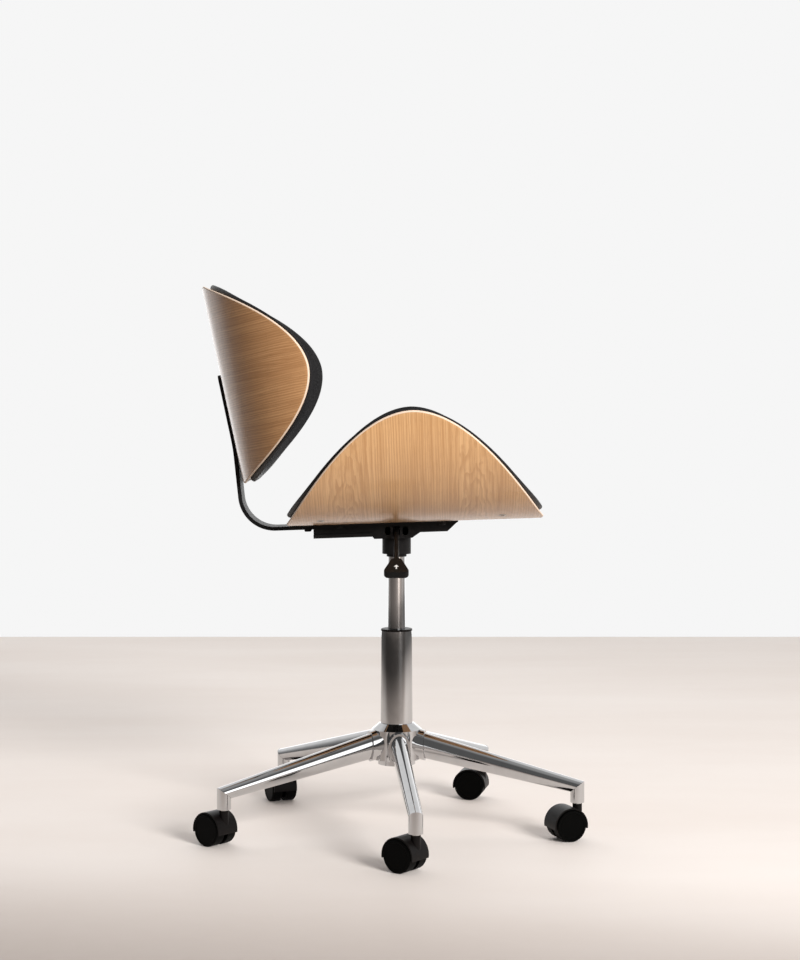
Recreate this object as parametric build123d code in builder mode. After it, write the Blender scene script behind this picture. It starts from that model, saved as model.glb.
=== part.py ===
"""Swivel desk chair: five-arm base on casters, gas lift, plywood seat and back with pads.

Millimetres, +Z up, the chair faces +X. The origin is on the floor, on the column's axis.
Heights are chained upwards from the floor, so each size can be changed by itself.
"""
import os
from dataclasses import dataclass
from math import acos, cos, radians, sin, tan

from build123d import *

# Fits
press_gap = 0.02
running_gap = 0.06
free_gap = 0.4
bolt_gap = 0.1

# Casters
wheel_diameter = 50
wheel_width = 18
wheel_rim = 4
wheel_bevel = 1.6
wheel_face_wall = 4
wheel_face_recess = 0.6
wheel_hub_diameter = 15
hood_gap = 1.3
hood_wall = 2.2
hood_edge = 1.5
hood_skirt = 4.7
web_thickness = 6
web_gap = 1
web_boss_diameter = 16
axle_diameter = 6
caster_trail = 19.5
neck_diameter = 15
neck_rise = 3
stem_pin_diameter = 8
stem_pin_depth = 8
stem_flange_diameter = 14
stem_flange = 1.7
stem_diameter = 11
stem_insert = 19
swivel_gap = 0.2
caster_headings = [143, 201, 168, 112, 140]

# Base
arm_count = 5
first_arm_angle = -84.4
stem_circle_radius = 292.7
socket_diameter = 22
socket_wall = 1.5
socket_height = 25
sleeve_length = 14
arm_drop_angle = 12.8
arm_end_width = 22
arm_end_height = 22.3
arm_root_width = 28.5
arm_root_height = 43
arm_wall = 2
arm_socket_wall = 3.5
arm_socket_radius = 47
hub_body_radius = 38
hub_skirt_radius = 40
hub_cone_wall = 2
hub_above_arm = 23.8
hub_cone_height = 10
hub_below_arm = 24.7
hub_boss_height = 8
hub_boss_radius = 30
hub_boss_bore = 32
flute_radius = 15
flute_depth = 4.5

# Column and gas lift
column_foot_diameter = 51.5
column_top_diameter = 49
column_wall = 2
column_floor_thickness = 4
column_visible = 148.5
collar_thickness = 3
collar_overhang = 0.6
bush_length = 70
cylinder_diameter = 28
cylinder_wall = 2
cylinder_exposed = 116.5
lift_stroke = 100
cylinder_plug = 24
gland_length = 18
rod_diameter = 10
rod_tail = 6
clip_thickness = 1.6
clip_diameter = 18
piston_length = 10
piston_standoff = 5
race_thickness = 1.5
race_diameter = 30
ball_diameter = 3.5
ball_count = 12
ball_gap = 0.1
bumper_height = 3
bumper_clearance = 1
bumper_diameter = 26

# Taper socket and mechanism
taper_collar_diameter = 32
taper_collar_height = 4.5
taper_block_diameter = 46
taper_block_height = 27.3
taper_reduction = 1.5
cylinder_top_rise = 3
mechanism_depth = 23.5
plate_thickness = 3
plate_width = 114
plate_rear = 155
plate_front = 97
channel_width = 84
channel_wall = 2.5
channel_rear = 132
channel_rear_depth = 14
rear_lip_thickness = 5.5
rear_lip_width = 94
rear_lip_front = 44
channel_middle_rear = 36
channel_middle_front = 24
channel_front_rear = 37
channel_front_depth = 15
channel_front_end = 80
wall_slot_width = 9
wall_slot_height = 14
wall_slot_spacing = 28
lever_slot_width = 11
lever_slot_height = 15

# Height lever
lever_pivot_reach = 28
lever_pin_diameter = 5
lever_tab_width = 10
lever_tab_height = 6
lever_tab_overlap = 6
lever_ear = 3
lever_ear_gap = 0.5
lever_ear_margin = 3
lever_rod_diameter = 8
lever_rod_slope = 12.5
lever_rod_reach = 192
lever_bend_radius = 40
paddle_slope = 23.6
paddle_length = 47
paddle_width = 37
paddle_root_width = 15
paddle_shoulder = 36
paddle_thickness = 11
paddle_corner = 7
paddle_edge = 2
paddle_under_edge = 4
paddle_socket_depth = 24
button_diameter = 6
button_height = 6
button_edge = 1.2
button_depth = 10
button_travel = 3.5

# Seat shell, raked with its front up
seat_rake = 1.88
seat_centre_forward = 29
seat_half_length = 200
seat_height = 177
seat_flat = 60
seat_bend_radius = 185
seat_bend = 80
ply_thickness = 12

# Back shell, reclined, with its middle placed from the seat's underside at the column
back_recline = 11.9
back_behind = 274.5
back_above = 214.5
back_half_length = 157.4
back_depth = 147
back_flat = 31
back_bend_radius = 195
back_bend = 75

# Outline of both shells
outline_lip = 6
outline_fullness = 1.9
outline_hollow = 1.11
outline_points = 17
trim_margin = 10

# Pads
pad_proud = 4.5
pad_lip = 4.2
pad_lip_draw = 1.2
pad_end_roll = 6.5
pad_roll_full = 0.38
pad_roll_gone = 0.72
pad_border = 14
pad_border_share = 0.3
pad_shoulder = 30
pad_shoulder_share = 0.34
pad_shoulder_fill = 0.8
pad_shoulder_middle_in = 0.35
pad_shoulder_middle_up = 0.6
pad_crown = 19
pad_end_crown = 0.2
pad_crown_fall = 3
pad_top_share = 0.985
pad_wing_stations = 10

# Back bar
bar_thickness = 6
bar_width = 60
bar_start = 113
bar_top_above_middle = 18
bar_knee_below_middle = 100
bar_lower_lean = 6
bar_foot_radius = 55
bar_knee_radius = 300
bar_corner = 10

# Fasteners
bolt_diameter = 6
bolt_head_diameter = 11
bolt_head_height = 4
bolt_end_gap = 0.5
sunk_head_diameter = 12
sunk_head_height = 3.2
tee_flange_diameter = 17
tee_flange = 1.2
tee_barrel_diameter = 8
plate_bolt_rear = 90
plate_bolt_front = 72
plate_bolt_spread = 98
bar_bolt_back = 142
bar_bolt_spread = 30
back_bolt_drops = [10, 70]
pad_screw_diameter = 5
pad_screw_head_diameter = 12.6
pad_screw_head_height = 3
pad_screw_length = 20
pad_screw_angle = 18
pad_screw_front_inset = 65
pad_screw_rear_inset = 54

# Caster heights
wheel_radius = wheel_diameter / 2
wheel_inner_side = web_thickness / 2 + web_gap
wheel_outer_side = wheel_inner_side + wheel_width
hood_inner_radius = wheel_radius + hood_gap
hood_outer_radius = hood_inner_radius + hood_wall
hood_half_width = wheel_outer_side - hood_edge
neck_top = wheel_radius + hood_outer_radius + neck_rise
socket_bottom = neck_top + swivel_gap + stem_flange
mitre_height = socket_bottom + socket_height
arm_slope = tan(radians(arm_drop_angle))
mitre_slope = arm_end_height / socket_diameter - arm_slope

# Base and column heights
arm_start_radius = column_foot_diameter / 2 + arm_wall
hub_arm_height = mitre_height + arm_slope * (stem_circle_radius - hub_body_radius)
hub_shoulder = hub_arm_height + hub_above_arm
hub_top = hub_shoulder + hub_cone_height
hub_floor = hub_arm_height - hub_below_arm
hub_bottom = hub_floor - hub_boss_height
column_floor_top = hub_floor + column_floor_thickness
column_top = hub_top + column_visible
collar_top = column_top + collar_thickness

# Gas lift heights, with the seat at its highest
cylinder_radius = cylinder_diameter / 2
cylinder_bore = cylinder_radius - cylinder_wall
bearing_ball_height = column_floor_top + race_thickness + ball_gap + ball_diameter / 2
upper_race_bottom = bearing_ball_height + ball_diameter / 2 + ball_gap
bumper_bottom = upper_race_bottom + race_thickness
cylinder_bottom = bumper_bottom + bumper_height + bumper_clearance + lift_stroke
piston_bottom = cylinder_bottom + gland_length + piston_standoff
taper_bottom = collar_top + cylinder_exposed
taper_block_bottom = taper_bottom + taper_collar_height
channel_floor_height = taper_block_bottom + taper_block_height
cylinder_top = channel_floor_height + channel_wall + cylinder_top_rise
button_top = cylinder_top + button_height
lever_tab_bottom = button_top + free_gap
lever_pivot_height = lever_tab_bottom + lever_tab_height / 2
seat_underside = channel_floor_height + mechanism_depth + plate_thickness

# Raked frame of the seat and its mechanism
across = Vector(0, 1, 0)
seat_along = Vector(cos(radians(seat_rake)), 0, sin(radians(seat_rake)))
seat_up = Vector(-sin(radians(seat_rake)), 0, cos(radians(seat_rake)))
back_along = Vector(-sin(radians(back_recline)), 0, cos(radians(back_recline)))
back_forward = Vector(cos(radians(back_recline)), 0, sin(radians(back_recline)))
underside = Plane(origin=(0, 0, seat_underside), x_dir=seat_along, z_dir=seat_up)
plate_bottom = underside.offset(-plate_thickness)
channel_side = Plane(origin=plate_bottom.origin, x_dir=seat_along, z_dir=seat_along.cross(seat_up))


@dataclass
class Sheet:
    """A plywood sheet bent to a wide U across the chair and cut to a curved outline."""

    centre: Vector
    along: Vector
    rise: Vector
    half_length: float
    height: float
    flat: float
    radius: float
    bend: float

    def section_plane(self):
        return Plane(origin=self.centre, x_dir=across, z_dir=across.cross(self.rise))

    def side_plane(self):
        return Plane(origin=self.centre, x_dir=self.along, z_dir=self.along.cross(self.rise))

    def outline_height(self, share):
        """Height of the outline where share is the way from the middle to an end, -1 to 1."""
        curve = (1 - abs(share) ** outline_fullness) ** outline_hollow
        return outline_lip + (self.height - outline_lip) * curve

    def outline_reach(self, height, proud):
        """Half length of the outline at a height above the sheet's flat."""
        level = max(height - outline_lip, 0) / (self.height + proud - outline_lip)
        curve = (1 - level ** (1 / outline_hollow)) ** (1 / outline_fullness)
        return (self.half_length + proud) * curve

    def wing_length(self, depth, height):
        """Way from the middle along a surface that lies depth inside, up to a height."""
        inner_radius = self.radius - depth
        bend_top = depth + inner_radius * (1 - cos(radians(self.bend)))
        if height <= bend_top:
            return self.flat + inner_radius * acos(1 - (height - depth) / inner_radius)
        straight = (height - bend_top) / sin(radians(self.bend))
        return self.flat + inner_radius * radians(self.bend) + straight

    def station(self, way, depth):
        """Point and inward normal at a signed way from the middle, depth inside the sheet."""
        side = -1 if way < 0 else 1
        inner_radius = self.radius - depth
        turn = min(max(abs(way) - self.flat, 0) / inner_radius, radians(self.bend))
        straight = max(abs(way) - self.flat - inner_radius * radians(self.bend), 0)
        reach = min(abs(way), self.flat) + inner_radius * sin(turn) + straight * cos(turn)
        climb = depth + inner_radius * (1 - cos(turn)) + straight * sin(turn)
        normal = across * (-side * sin(turn)) + self.rise * cos(turn)
        return self.centre + across * (side * reach) + self.rise * climb, normal


seat = Sheet(
    centre=underside.origin + seat_along * seat_centre_forward,
    along=seat_along,
    rise=seat_up,
    half_length=seat_half_length,
    height=seat_height,
    flat=seat_flat,
    radius=seat_bend_radius,
    bend=seat_bend,
)
back = Sheet(
    centre=Vector(-back_behind, 0, seat_underside + back_above),
    along=back_along,
    rise=back_forward,
    half_length=back_half_length,
    height=back_depth,
    flat=back_flat,
    radius=back_bend_radius,
    bend=back_bend,
)


def save(piece, name):
    piece.part.label = name
    export_step(piece.part, f"parts/{name}.step")


def arm_angle(index):
    return first_arm_angle + index * 360 / arm_count


def arm_plane(index, radius):
    """Upright plane across an arm, centred on the arm's sloping axis."""
    angle = radians(arm_angle(index))
    height = mitre_height + arm_slope * (stem_circle_radius - radius)
    return Plane(
        origin=(radius * cos(angle), radius * sin(angle), height),
        x_dir=(-sin(angle), cos(angle), 0),
        z_dir=(cos(angle), sin(angle), 0),
    )


def arm_oval(index, radius, growth):
    """Sketch of an arm's oval section at a radius, grown by an amount all round."""
    share = (radius - arm_start_radius) / (stem_circle_radius - arm_start_radius)
    width = arm_root_width + (arm_end_width - arm_root_width) * share
    height = arm_root_height + (arm_end_height - arm_root_height) * share
    with BuildSketch(arm_plane(index, radius)) as oval:
        Ellipse(width / 2 + growth, height / 2 + growth)
    return oval.sketch


def arm_tube(index, end_radius, growth, mode=Mode.ADD):
    """An arm's tapered body from the hub out to a radius, grown by an amount all round."""
    root = arm_oval(index, arm_start_radius, growth)
    loft([root, arm_oval(index, end_radius, growth)], ruled=True, mode=mode)


def mitre_plane(index):
    """Plane of the weld between an arm and its end socket, facing up the arm."""
    plane = arm_plane(index, stem_circle_radius)
    facing = plane.y_dir - plane.z_dir * mitre_slope
    return Plane(origin=plane.origin, x_dir=plane.x_dir, z_dir=facing)


def stem_ring(height, length, radius, hole=0):
    """Five equal discs or rings on the casters' stem axes."""
    with BuildSketch(Plane.XY.offset(height)) as rings:
        with PolarLocations(stem_circle_radius, arm_count, start_angle=first_arm_angle):
            Circle(radius)
            if hole:
                Circle(hole, mode=Mode.SUBTRACT)
    extrude(rings.sketch, amount=length)


def disc(plane, radius, amount, mode=Mode.ADD):
    with BuildSketch(plane) as circle:
        Circle(radius)
    extrude(circle.sketch, amount=amount, mode=mode)


def spin_profile(points, plane=Plane.XZ, axis=Axis.Z):
    """Body turned round an axis from a closed profile on a plane."""
    with BuildSketch(plane) as profile:
        with BuildLine():
            Polyline(*points, close=True)
        make_face()
    revolve(profile.sketch, axis=axis)


def formed_shell(sheet):
    """The bent sheet, trimmed to its outline."""
    arc_top = sheet.radius * (1 - cos(radians(sheet.bend)))
    straight = max(sheet.height - arc_top, 0) / sin(radians(sheet.bend)) + trim_margin
    with BuildSketch(sheet.section_plane()) as section:
        with BuildLine():
            floor = Line((0, 0), (sheet.flat, 0))
            outer = JernArc(floor @ 1, (1, 0), sheet.radius, sheet.bend)
            outer_end = Line(outer @ 1, outer @ 1 + (outer % 1) * straight)
            inner_floor = Line((0, ply_thickness), (sheet.flat, ply_thickness))
            inner = JernArc(inner_floor @ 1, (1, 0), sheet.radius - ply_thickness, sheet.bend)
            inner_end = Line(inner @ 1, inner @ 1 + (inner % 1) * straight)
            Line(outer_end @ 1, inner_end @ 1)
            Line(floor @ 0, inner_floor @ 0)
        make_face()
        mirror(about=Plane.YZ)
    extrude(section.sketch, amount=sheet.half_length + trim_margin, both=True)
    shares = [1 - 2 * step / (outline_points - 1) for step in range(outline_points)]
    with BuildSketch(sheet.side_plane()) as outline:
        with BuildLine():
            edge = Spline(*[(sheet.half_length * s, sheet.outline_height(s)) for s in shares])
            Polyline(
                edge @ 1,
                (-sheet.half_length, -trim_margin),
                (sheet.half_length, -trim_margin),
                edge @ 0,
            )
        make_face()
    half_span = sheet.flat + sheet.radius + straight
    extrude(outline.sketch, amount=half_span, both=True, mode=Mode.INTERSECT)


def pad_edge(share):
    """Thickness of a pad's sewn edge: thin along the wings, a full roll at the two ends."""
    thinned = (share - pad_roll_full) / (pad_roll_gone - pad_roll_full)
    return pad_lip + pad_end_roll * (1 - min(max(thinned, 0), 1))


def pad_section(sheet, way, top_way):
    """One slice of a pad: a sewn border, rounded shoulders and a crown."""
    point, normal = sheet.station(way, ply_thickness + free_gap)
    height = (point - sheet.centre).dot(sheet.rise)
    reach = sheet.outline_reach(height, pad_proud)
    border = min(pad_border, pad_border_share * reach)
    shoulder = min(pad_shoulder, pad_shoulder_share * reach)
    fill = pad_end_crown + (1 - pad_end_crown) * (1 - abs(way / top_way) ** pad_crown_fall)
    edge = pad_edge(abs(way / top_way))
    crown = pad_lip + (pad_crown - pad_lip) * fill
    shoulder_top = edge + (crown - edge) * pad_shoulder_fill
    border_end = reach - border
    shoulder_end = border_end - shoulder
    shoulder_middle = (
        border_end - pad_shoulder_middle_in * shoulder,
        edge + pad_shoulder_middle_up * (shoulder_top - edge),
    )
    facing = sheet.along.cross(normal)
    with BuildSketch(Plane(origin=point, x_dir=sheet.along, z_dir=facing)) as slice_of_pad:
        with BuildLine():
            base = Line((-reach, 0), (reach, 0))
            lip = Polyline(base @ 1, (reach - pad_lip_draw, edge), (border_end, edge))
            front = ThreePointArc(lip @ 1, shoulder_middle, (shoulder_end, shoulder_top))
            crest = ThreePointArc(front @ 1, (0, crown), (-shoulder_end, shoulder_top))
            rear = ThreePointArc(
                crest @ 1, (-shoulder_middle[0], shoulder_middle[1]), (-border_end, edge)
            )
            Polyline(rear @ 1, (-reach + pad_lip_draw, edge), base @ 0)
        make_face()
    return slice_of_pad.sketch


def formed_pad(sheet):
    """A pad that lines the sheet, lofted across the chair from wing to wing."""
    depth = ply_thickness + free_gap
    top_way = sheet.wing_length(depth, pad_top_share * (sheet.height + pad_proud))
    steps = range(1, pad_wing_stations + 1)
    climb = [sheet.flat + (top_way - sheet.flat) * step / pad_wing_stations for step in steps]
    wing = [sheet.flat] + climb
    ways = [-way for way in reversed(wing)] + [0] + wing
    loft([pad_section(sheet, way, top_way) for way in ways], ruled=True)


def bolt(plane, spots, grip, reach, head_radius=bolt_head_diameter / 2, head_height=bolt_head_height):
    """Bolts standing on a plane, heads below it, with shanks that pass grip and end at reach."""
    with BuildSketch(plane) as heads:
        with Locations(*spots):
            Circle(head_radius)
    extrude(heads.sketch, amount=-head_height)
    with BuildSketch(plane) as shanks:
        with Locations(*spots):
            Circle(bolt_diameter / 2)
    extrude(shanks.sketch, amount=grip + reach)


def bolt_holes(plane, spots, depth, radius):
    with BuildSketch(plane) as holes:
        with Locations(*spots):
            Circle(radius)
    extrude(holes.sketch, amount=depth, mode=Mode.SUBTRACT)


def tee_nuts(plane, spots):
    """Tee nuts in a sheet whose outer face is the plane, flush with its inner face."""
    with BuildSketch(plane.offset(ply_thickness - tee_flange)) as flanges:
        with Locations(*spots):
            Circle(tee_flange_diameter / 2)
            Circle(bolt_diameter / 2 + press_gap, mode=Mode.SUBTRACT)
    extrude(flanges.sketch, amount=tee_flange)
    with BuildSketch(plane) as barrels:
        with Locations(*spots):
            Circle(tee_barrel_diameter / 2)
            Circle(bolt_diameter / 2 + press_gap, mode=Mode.SUBTRACT)
    extrude(barrels.sketch, amount=ply_thickness - tee_flange)


def tee_nut_holes(plane, spots):
    bolt_holes(plane, spots, ply_thickness, tee_barrel_diameter / 2 + press_gap)
    seat_of_flange = plane.offset(ply_thickness - tee_flange)
    bolt_holes(seat_of_flange, spots, tee_flange, tee_flange_diameter / 2 + press_gap)


os.makedirs("parts", exist_ok=True)

# Base hub: a turned body with a cone on top, five arm sockets and flutes between them
column_foot_radius = column_foot_diameter / 2
with BuildPart() as base_hub:
    spin_profile(
        [
            (hub_boss_bore / 2, hub_bottom),
            (hub_boss_radius, hub_bottom),
            (hub_boss_radius, hub_floor),
            (hub_body_radius, hub_floor),
            (hub_body_radius, hub_shoulder),
            (hub_skirt_radius, hub_shoulder),
            (column_foot_radius + hub_cone_wall, hub_top),
            (column_foot_radius + press_gap, hub_top),
            (column_foot_radius + press_gap, hub_floor),
            (hub_boss_bore / 2, hub_floor),
        ]
    )
    flute_circle = hub_body_radius + flute_radius - flute_depth
    flute_start = first_arm_angle + 180 / arm_count
    with BuildSketch(Plane.XY.offset(hub_bottom)):
        with PolarLocations(flute_circle, arm_count, start_angle=flute_start):
            Circle(flute_radius)
    extrude(amount=hub_shoulder - hub_bottom, mode=Mode.SUBTRACT)
    for index in range(arm_count):
        arm_tube(index, arm_socket_radius, arm_socket_wall)
    for index in range(arm_count):
        arm_tube(index, stem_circle_radius, press_gap, Mode.SUBTRACT)
    column_seat = Plane.XY.offset(hub_floor)
    disc(column_seat, column_foot_radius + press_gap, hub_top - hub_floor, Mode.SUBTRACT)
save(base_hub, "base_hub")

# Arms: tapered oval tubes from the hub to the mitre over each caster
arm_overrun = stem_circle_radius + socket_diameter
for index in range(arm_count):
    with BuildPart() as arm:
        arm_tube(index, arm_overrun, 0)
        arm_tube(index, arm_overrun, -arm_wall, Mode.SUBTRACT)
        with BuildSketch(mitre_plane(index)):
            Rectangle(3 * socket_diameter, 4 * socket_diameter)
        extrude(amount=-3 * socket_diameter, mode=Mode.SUBTRACT)
    save(arm, f"arm_{index + 1}")

# End sockets: upright tubes welded under the arms' mitred ends
with BuildPart() as arm_end_sockets:
    stem_ring(
        socket_bottom,
        socket_height + socket_diameter,
        socket_diameter / 2,
        socket_diameter / 2 - socket_wall,
    )
    for index in range(arm_count):
        with BuildSketch(mitre_plane(index)):
            Rectangle(3 * socket_diameter, 3 * socket_diameter)
        extrude(amount=2 * socket_diameter, mode=Mode.SUBTRACT)
save(arm_end_sockets, "arm_end_sockets")

# Sleeves and stems: what holds the casters in the end sockets
with BuildPart() as caster_sleeves:
    stem_ring(
        socket_bottom,
        sleeve_length,
        socket_diameter / 2 - socket_wall - press_gap,
        stem_diameter / 2 + press_gap,
    )
save(caster_sleeves, "caster_sleeves")

with BuildPart() as caster_stems:
    stem_ring(neck_top - stem_pin_depth + swivel_gap, stem_pin_depth, stem_pin_diameter / 2)
    stem_ring(socket_bottom - stem_flange, stem_flange, stem_flange_diameter / 2)
    stem_ring(socket_bottom, stem_insert, stem_diameter / 2)
save(caster_stems, "caster_stems")

# Casters: each hood turns on its stem, and two wheels turn on its axle
axle_half_length = wheel_outer_side - wheel_face_wall - free_gap
for index in range(arm_count):
    stem_angle = radians(arm_angle(index))
    heading = radians(caster_headings[index])
    trail = Vector(cos(heading), sin(heading), 0)
    axle_line = Vector(sin(heading), -cos(heading), 0)
    stem_foot = Vector(cos(stem_angle), sin(stem_angle), 0) * stem_circle_radius
    axle_centre = stem_foot + trail * caster_trail + Vector(0, 0, wheel_radius)
    wheel_side = Plane(origin=axle_centre, x_dir=trail, z_dir=axle_line)
    wheel_cut = Plane(origin=axle_centre, x_dir=axle_line, z_dir=axle_line.cross(Vector(0, 0, 1)))
    stem_top = Plane(origin=stem_foot + Vector(0, 0, neck_top))
    below_skirt = Location((0, -hood_skirt - hood_outer_radius))

    with BuildPart() as caster_hood:
        with BuildSketch(wheel_side):
            Circle(hood_outer_radius)
            with Locations(below_skirt):
                Rectangle(3 * hood_outer_radius, 2 * hood_outer_radius, mode=Mode.SUBTRACT)
        extrude(amount=hood_half_width, both=True)
        disc(stem_top, neck_diameter / 2, wheel_radius - neck_top)
        for well in (web_thickness / 2, -web_thickness / 2):
            well_depth = wheel_outer_side if well > 0 else -wheel_outer_side
            disc(wheel_side.offset(well), hood_inner_radius, well_depth, Mode.SUBTRACT)
        with BuildSketch(wheel_side):
            Circle(web_boss_diameter / 2)
        extrude(amount=web_thickness / 2, both=True)
        with BuildSketch(wheel_side):
            Circle(axle_diameter / 2 + press_gap)
        extrude(amount=web_thickness, both=True, mode=Mode.SUBTRACT)
        disc(stem_top, stem_pin_diameter / 2 + running_gap, -stem_pin_depth, Mode.SUBTRACT)
    save(caster_hood, f"caster_hood_{index + 1}")

    with BuildPart() as caster_axle:
        with BuildSketch(wheel_side):
            Circle(axle_diameter / 2)
        extrude(amount=axle_half_length, both=True)
    save(caster_axle, f"caster_axle_{index + 1}")

    bore = axle_diameter / 2 + running_gap
    bore_end = wheel_outer_side - wheel_face_wall
    rim_inside = wheel_radius - wheel_rim
    wheel_profile = [
        (wheel_inner_side, bore),
        (wheel_inner_side, wheel_hub_diameter / 2),
        (bore_end, wheel_hub_diameter / 2),
        (bore_end, rim_inside),
        (wheel_inner_side, rim_inside),
        (wheel_inner_side, wheel_radius),
        (wheel_outer_side - wheel_bevel, wheel_radius),
        (wheel_outer_side, wheel_radius - wheel_bevel),
        (wheel_outer_side, rim_inside),
        (wheel_outer_side - wheel_face_recess, rim_inside - wheel_face_recess),
        (wheel_outer_side - wheel_face_recess, 0),
        (bore_end, 0),
        (bore_end, bore),
    ]
    for side, letter in ((1, "a"), (-1, "b")):
        with BuildPart() as caster_wheel:
            mirrored = [(side * along, radius) for along, radius in wheel_profile]
            spin_profile(mirrored, wheel_cut, Axis(axle_centre, axle_line))
        save(caster_wheel, f"caster_wheel_{index + 1}{letter}")

# Column: an upright tube with a floor, pressed into the hub, and its collar with a guide bush
column_top_radius = column_top_diameter / 2
rod_radius = rod_diameter / 2
with BuildPart() as column_tube:
    spin_profile(
        [
            (rod_radius + running_gap, hub_floor),
            (column_foot_radius, hub_floor),
            (column_foot_radius, hub_top),
            (column_top_radius, column_top),
            (column_top_radius - column_wall, column_top),
            (column_top_radius - column_wall, column_floor_top),
            (rod_radius + running_gap, column_floor_top),
        ]
    )
save(column_tube, "column_tube")

bush_radius = column_top_radius - column_wall - press_gap
guide_radius = cylinder_radius + running_gap
with BuildPart() as column_collar:
    spin_profile(
        [
            (guide_radius, column_top - bush_length),
            (bush_radius, column_top - bush_length),
            (bush_radius, column_top),
            (column_top_radius + collar_overhang, column_top),
            (column_top_radius + collar_overhang, collar_top - collar_overhang),
            (column_top_radius, collar_top),
            (guide_radius, collar_top),
        ]
    )
save(column_collar, "column_collar")

# Thrust bearing under the piston rod
with BuildPart() as bearing_lower_race:
    with BuildSketch(Plane.XY.offset(column_floor_top)):
        Circle(race_diameter / 2)
        Circle(rod_radius + free_gap, mode=Mode.SUBTRACT)
    extrude(amount=race_thickness)
save(bearing_lower_race, "bearing_lower_race")

ball_circle = (rod_radius + race_diameter / 2) / 2
with BuildPart() as bearing_balls:
    with Locations(Plane.XY.offset(bearing_ball_height)):
        with PolarLocations(ball_circle, ball_count):
            Sphere(ball_diameter / 2)
save(bearing_balls, "bearing_balls")

with BuildPart() as bearing_upper_race:
    with BuildSketch(Plane.XY.offset(upper_race_bottom)):
        Circle(race_diameter / 2)
        Circle(rod_radius + press_gap, mode=Mode.SUBTRACT)
    extrude(amount=race_thickness)
save(bearing_upper_race, "bearing_upper_race")

with BuildPart() as rubber_bumper:
    with BuildSketch(Plane.XY.offset(bumper_bottom)):
        Circle(bumper_diameter / 2)
        Circle(rod_radius + press_gap, mode=Mode.SUBTRACT)
    extrude(amount=bumper_height)
save(rubber_bumper, "rubber_bumper")

# Gas lift: rod, piston and clip turn in the column, the cylinder slides on them
with BuildPart() as piston_rod:
    disc(Plane.XY.offset(hub_floor - rod_tail), rod_radius, piston_bottom - hub_floor + rod_tail)
save(piston_rod, "piston_rod")

with BuildPart() as rod_clip:
    with BuildSketch(Plane.XY.offset(hub_floor - free_gap)):
        Circle(clip_diameter / 2)
        Circle(rod_radius + press_gap, mode=Mode.SUBTRACT)
    extrude(amount=-clip_thickness)
save(rod_clip, "rod_clip")

with BuildPart() as piston:
    disc(Plane.XY.offset(piston_bottom), cylinder_bore - running_gap, piston_length)
save(piston, "piston")

taper_length = cylinder_top - taper_bottom
taper_top_radius = cylinder_radius - taper_reduction
button_pocket = cylinder_top - button_depth - button_travel
with BuildPart() as gas_cylinder:
    spin_profile(
        [
            (cylinder_bore, cylinder_bottom),
            (cylinder_radius, cylinder_bottom),
            (cylinder_radius, taper_bottom),
            (taper_top_radius, cylinder_top),
            (button_diameter / 2 + running_gap, cylinder_top),
            (button_diameter / 2 + running_gap, button_pocket - free_gap),
            (0, button_pocket - free_gap),
            (0, cylinder_top - cylinder_plug),
            (cylinder_bore, cylinder_top - cylinder_plug),
        ]
    )
save(gas_cylinder, "gas_cylinder")

with BuildPart() as rod_gland:
    with BuildSketch(Plane.XY.offset(cylinder_bottom)):
        Circle(cylinder_bore - press_gap)
        Circle(rod_radius + running_gap, mode=Mode.SUBTRACT)
    extrude(amount=gland_length)
save(rod_gland, "rod_gland")

with BuildPart() as valve_button:
    button_foot = Plane.XY.offset(cylinder_top - button_depth)
    disc(button_foot, button_diameter / 2, button_depth + button_height)
    fillet(valve_button.edges().group_by(Axis.Z)[-1], radius=button_edge)
save(valve_button, "valve_button")

# Taper socket: a turned block welded under the raked channel
with BuildPart() as taper_socket:
    socket_top = channel_floor_height + taper_block_diameter
    taper_fall = taper_reduction / taper_length
    bore_foot = cylinder_radius + press_gap
    bore_head = bore_foot - taper_fall * (socket_top - taper_bottom)
    spin_profile(
        [
            (bore_foot, taper_bottom),
            (taper_collar_diameter / 2, taper_bottom),
            (taper_collar_diameter / 2, taper_block_bottom),
            (taper_block_diameter / 2, taper_block_bottom),
            (taper_block_diameter / 2, socket_top),
            (bore_head, socket_top),
        ]
    )
    with BuildSketch(plate_bottom.offset(-mechanism_depth)):
        Rectangle(2 * taper_block_diameter, 2 * taper_block_diameter)
    extrude(amount=2 * taper_block_diameter, mode=Mode.SUBTRACT)
save(taper_socket, "taper_socket")

# Mechanism plate, bolted flat under the seat
plate_bolt_side = plate_bolt_spread / 2
plate_bolts_at = [
    (-plate_bolt_rear, -plate_bolt_side),
    (-plate_bolt_rear, plate_bolt_side),
    (plate_bolt_front, -plate_bolt_side),
    (plate_bolt_front, plate_bolt_side),
]
bar_bolts_at = [(-bar_bolt_back, -bar_bolt_spread / 2), (-bar_bolt_back, bar_bolt_spread / 2)]
seat_bolts_at = plate_bolts_at + bar_bolts_at
bolt_hole_radius = bolt_diameter / 2 + bolt_gap
plate_middle = (plate_front - plate_rear) / 2
with BuildPart() as mech_plate:
    with BuildSketch(plate_bottom):
        with Locations((plate_middle, 0)):
            Rectangle(plate_front + plate_rear, plate_width)
    extrude(amount=plate_thickness)
    bolt_holes(plate_bottom, seat_bolts_at, plate_thickness, bolt_hole_radius)
save(mech_plate, "mech_plate")

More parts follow.
